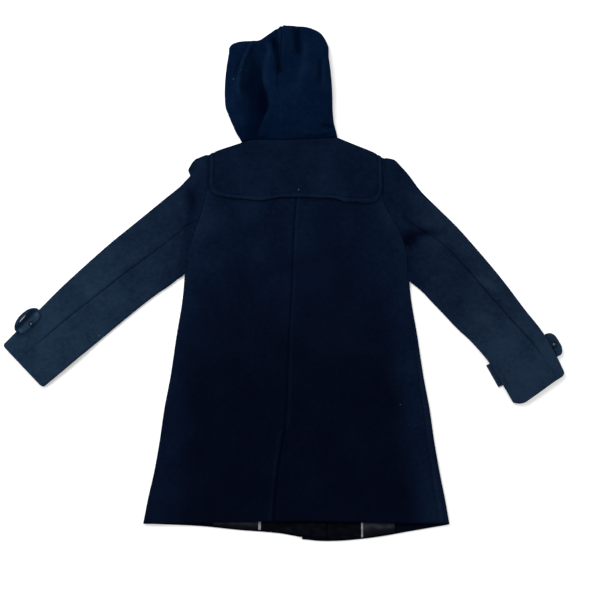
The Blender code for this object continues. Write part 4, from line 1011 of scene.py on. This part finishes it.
def hood_surface():
    """Grid of the hood's outer points from neck to top and from left to right: the rounded left edge, the
    lengthwise lines with smooth curves between them, and the rounded right edge."""
    rise = np.linspace(HOOD_LEVEL[0], HOOD_LEVEL[-1], 84)
    left, right, *x = (easy_curve(rise, HOOD_LEVEL, line) for line in (HOOD_LEFT, HOOD_RIGHT, *HOOD_X))
    lines = list(zip(x, (easy_curve(rise, HOOD_LEVEL, line) for line in HOOD_Z)))

    def rounded(end, line, angle):
        """A quarter ellipse from the edge at angle 0 up to the line at a right angle."""
        x, z = line
        return end + (x - end) * (1 - np.cos(angle)), EDGE_HEIGHT + (z - EDGE_HEIGHT) * np.sin(angle)

    lines = ([rounded(left, lines[0], a) for a in EDGE_STEPS] + lines
             + [rounded(right, lines[-1], a) for a in EDGE_STEPS[::-1]])
    knots = np.arange(len(lines))
    near_seam = HOOD_SEAM + np.array([-.16, -.1, -.05, .05, .1, .16])
    fine = np.unique(np.concatenate([np.linspace(0, knots[-1], 121), near_seam]))
    x, z = (np.array([easy_curve(fine, knots, row, even=True) for row in np.transpose(part)])
            for part in zip(*lines))
    up = ((rise - rise[0]) / (rise[-1] - rise[0]))[:, None]
    bend = 12 + 14 * between(x, -110, -50)
    foot = shoulder_line(x) + np.interp(x, (-112, -98, 84, 92), (2.6, 0.3, 0.3, 3.6))
    z = z + 1.6 * between(up, 0.05, 0) * np.maximum(between(x, -70, -95), between(x, 60, 80))
    z = z - 0.9 * between(up, 0.012, 0)
    top = easy_curve(x, TOP_X, TOP_Y)
    turn = np.radians(np.linspace(90, 0, 9)[1:, None])
    crown = grid_of(x[-1], top[-1] - bend[-1] * (1 - np.cos(turn)),
                    EDGE_HEIGHT + (z[-1] - EDGE_HEIGHT) * np.sin(turn))
    grid = np.concatenate([grid_of(x, foot + up * (top - bend - foot), z), crown])
    return grid, int(np.argmin(np.abs(fine - HOOD_SEAM)))


HOOD_FOLDS = (
    ([(-97, 622), (-111, 602), (-124, 574), (-134, 533), (-135, 500), (-127, 465)], 6.5, 4.5),
    ([(-113, 616), (-120, 596), (-136, 560), (-144, 520)], -3.6, 4),
    ([(-74, 630), (-62, 590), (-71, 556), (-72, 524), (-65, 490)], 5.0, 7),
    ([(-58, 640), (-46, 588), (-42, 551), (-40, 522)], -8.5, 7),
    ([(1, 660), (2, 615), (8, 572)], -8.5, 8),
    ([(22, 620), (19, 551), (10, 515), (0, 480)], 4.2, 10),
    ([(56, 578), (55, 540), (53, 498)], -4.0, 5),
    ([(66, 580), (65, 540), (62, 500)], 2.2, 5),
    ([(-42, 505), (-31, 470), (-33, 410)], 1.0, 5),
    ([(10, 393), (50, 391), (84, 398)], 3.4, 5),
    ([(58, 409), (74, 407), (91, 403)], -4.5, 4),
    ([(-75, 404), (-30, 398), (20, 402)], 1.2, 7),
    ([(-150, 480), (-138, 440), (-120, 405)], 1.2, 8))
LEAN = 0.25              # the folds' lines lie at y plus this share of the height


def hood_relief(grid, seam_column):
    """Small folds and the seam of the hood, as height off its surface."""
    z = grid[..., 2]
    x, y = grid[..., 0] * (1 + z / 2200), grid[..., 1] + LEAN * z
    height = 0.8 * ripple(x, y, 70, 71) * between(y, 395, 430) + folds(x, y, HOOD_FOLDS)
    height *= between(z, 9, 20)
    gap = np.linalg.norm(grid[..., :2] - grid[:, [seam_column], :2], axis=-1)
    seam = (0.8 * bell(gap - 5, 3) - 1.7 * bell(gap, 1.8)) * between(z, 9, 12)
    return height + seam * (0.3 + 0.7 * between(y, 480, 520))


hood, seam_column = hood_surface()
relief = hood_relief(hood, seam_column)
hood += relief[..., None] * facing_out(hood)
# the foot turns down into the neck seam
tuck = hood[:1] + [0, -1.2, 0]
tuck[..., 2] = np.maximum(tuck[..., 2] - 6, 3.0)
hood, relief = np.concatenate([tuck, hood]), np.concatenate([relief[:1], relief])
# the edge turns under all round, square to its own smoothed line
edge_line = np.vstack([hood[:, 0], hood[-1, 1:-1], hood[::-1, -1]])
along = np.gradient(edge_line[:, :2], axis=0)
inward = np.column_stack([along[:, 1], -along[:, 0]])
inward /= np.maximum(np.linalg.norm(inward, axis=1), 1e-9)[:, None]
padded = np.pad(inward, ((7, 7), (0, 0)), mode="edge")
inward = np.stack([np.convolve(part, np.hanning(17)[1:-1] / 8, mode="valid") for part in padded.T], axis=-1)
inward[[0, -1]] = (1, 0), (-1, 0)
angle = np.radians(np.linspace(0, -90, 7))[:, None]
spot = edge_line[:, :2] + inward * (UNDER_TURN * (1 - np.cos(angle)))[..., None]
turned = grid_of(spot[..., 0], spot[..., 1], edge_line[:, 2] * (1 + np.sin(angle)))


def hood_tone(grid, relief=0.0):
    """Tone of the hood: painted light on its ridges, painted shade in the hollow, in the creases and at the
    neck seam.
    """
    x, y, z = grid[..., 0], grid[..., 1] + LEAN * grid[..., 2], grid[..., 2]
    hollow = between(z, 24, 11) * between(x, -134, -104) * between(x, -55, -70)
    tone = 0.24 - 0.14 * hollow - 0.05 * between(y, 440, 390)
    tone -= 0.13 * bell(x + 78, 15) * bell(y - 470, 42) * between(z, 36, 20)
    tone = tone * (1 + 0.13 * ripple(x, y, 60, 81)) * np.clip(1 + 0.13 * relief, 0.3, 1.6)
    return np.maximum(tone, 0.01) * (1 - 0.8 * bell(grid[..., 1] - shoulder_line(x), 2.2))


# the hood's nap lies the other way from the body's and looks bluer
HOOD_WOOL = wool_material("navy_wool_hood", [
    (0.0, (0.0003, 0.0014, 0.0060)), (1.0, (0.0065, 0.0195, 0.0480)),
    (0.18, (0.0010, 0.0048, 0.0175)), (0.5, (0.0032, 0.0110, 0.0315))])
HOOD_WALL = 2.4
seam_on_edge = len(hood) + seam_column - 1
HALVES = {"left": (np.s_[:, :seam_column + 1], np.s_[:, :seam_on_edge + 1], (0.19, 0.30, 0.0465)),
          "right": (np.s_[:, seam_column:], np.s_[:, seam_on_edge:], (0.18, 0.30, 0.0443))}
for word, (part, under, cut) in HALVES.items():
    tones = [hood_tone(hood[part], relief[part]), hood_tone(turned[under])]
    sew("hood_" + word, [hood[part], turned[under]], tones, HOOD_WOOL, wall=HOOD_WALL)

# the layers folded away inside the hood: its front half and lining, as one rounded mass under the shell
CORE_DEPTH = 4.4         # mm below the hood's outer face
core = (hood - CORE_DEPTH * facing_out(hood))[2:-2:3, 3:-3:3]
core[..., 2] = np.maximum(core[..., 2], 1.5)
core = core[[0, *range(len(core)), -1]]
floor = core * [1, 1, 0] + [0, 0, 0.4]
core[[0, -1]] = floor[[0, -1]]
sides = [np.stack(pair, axis=1) for pair in ((floor[:, 0], core[:, 0]), (core[:, -1], floor[:, -1]))]
sew("hood_inner", [core, floor[:, ::-1], *sides], [0.08] * 4, WOOL, wall=0)
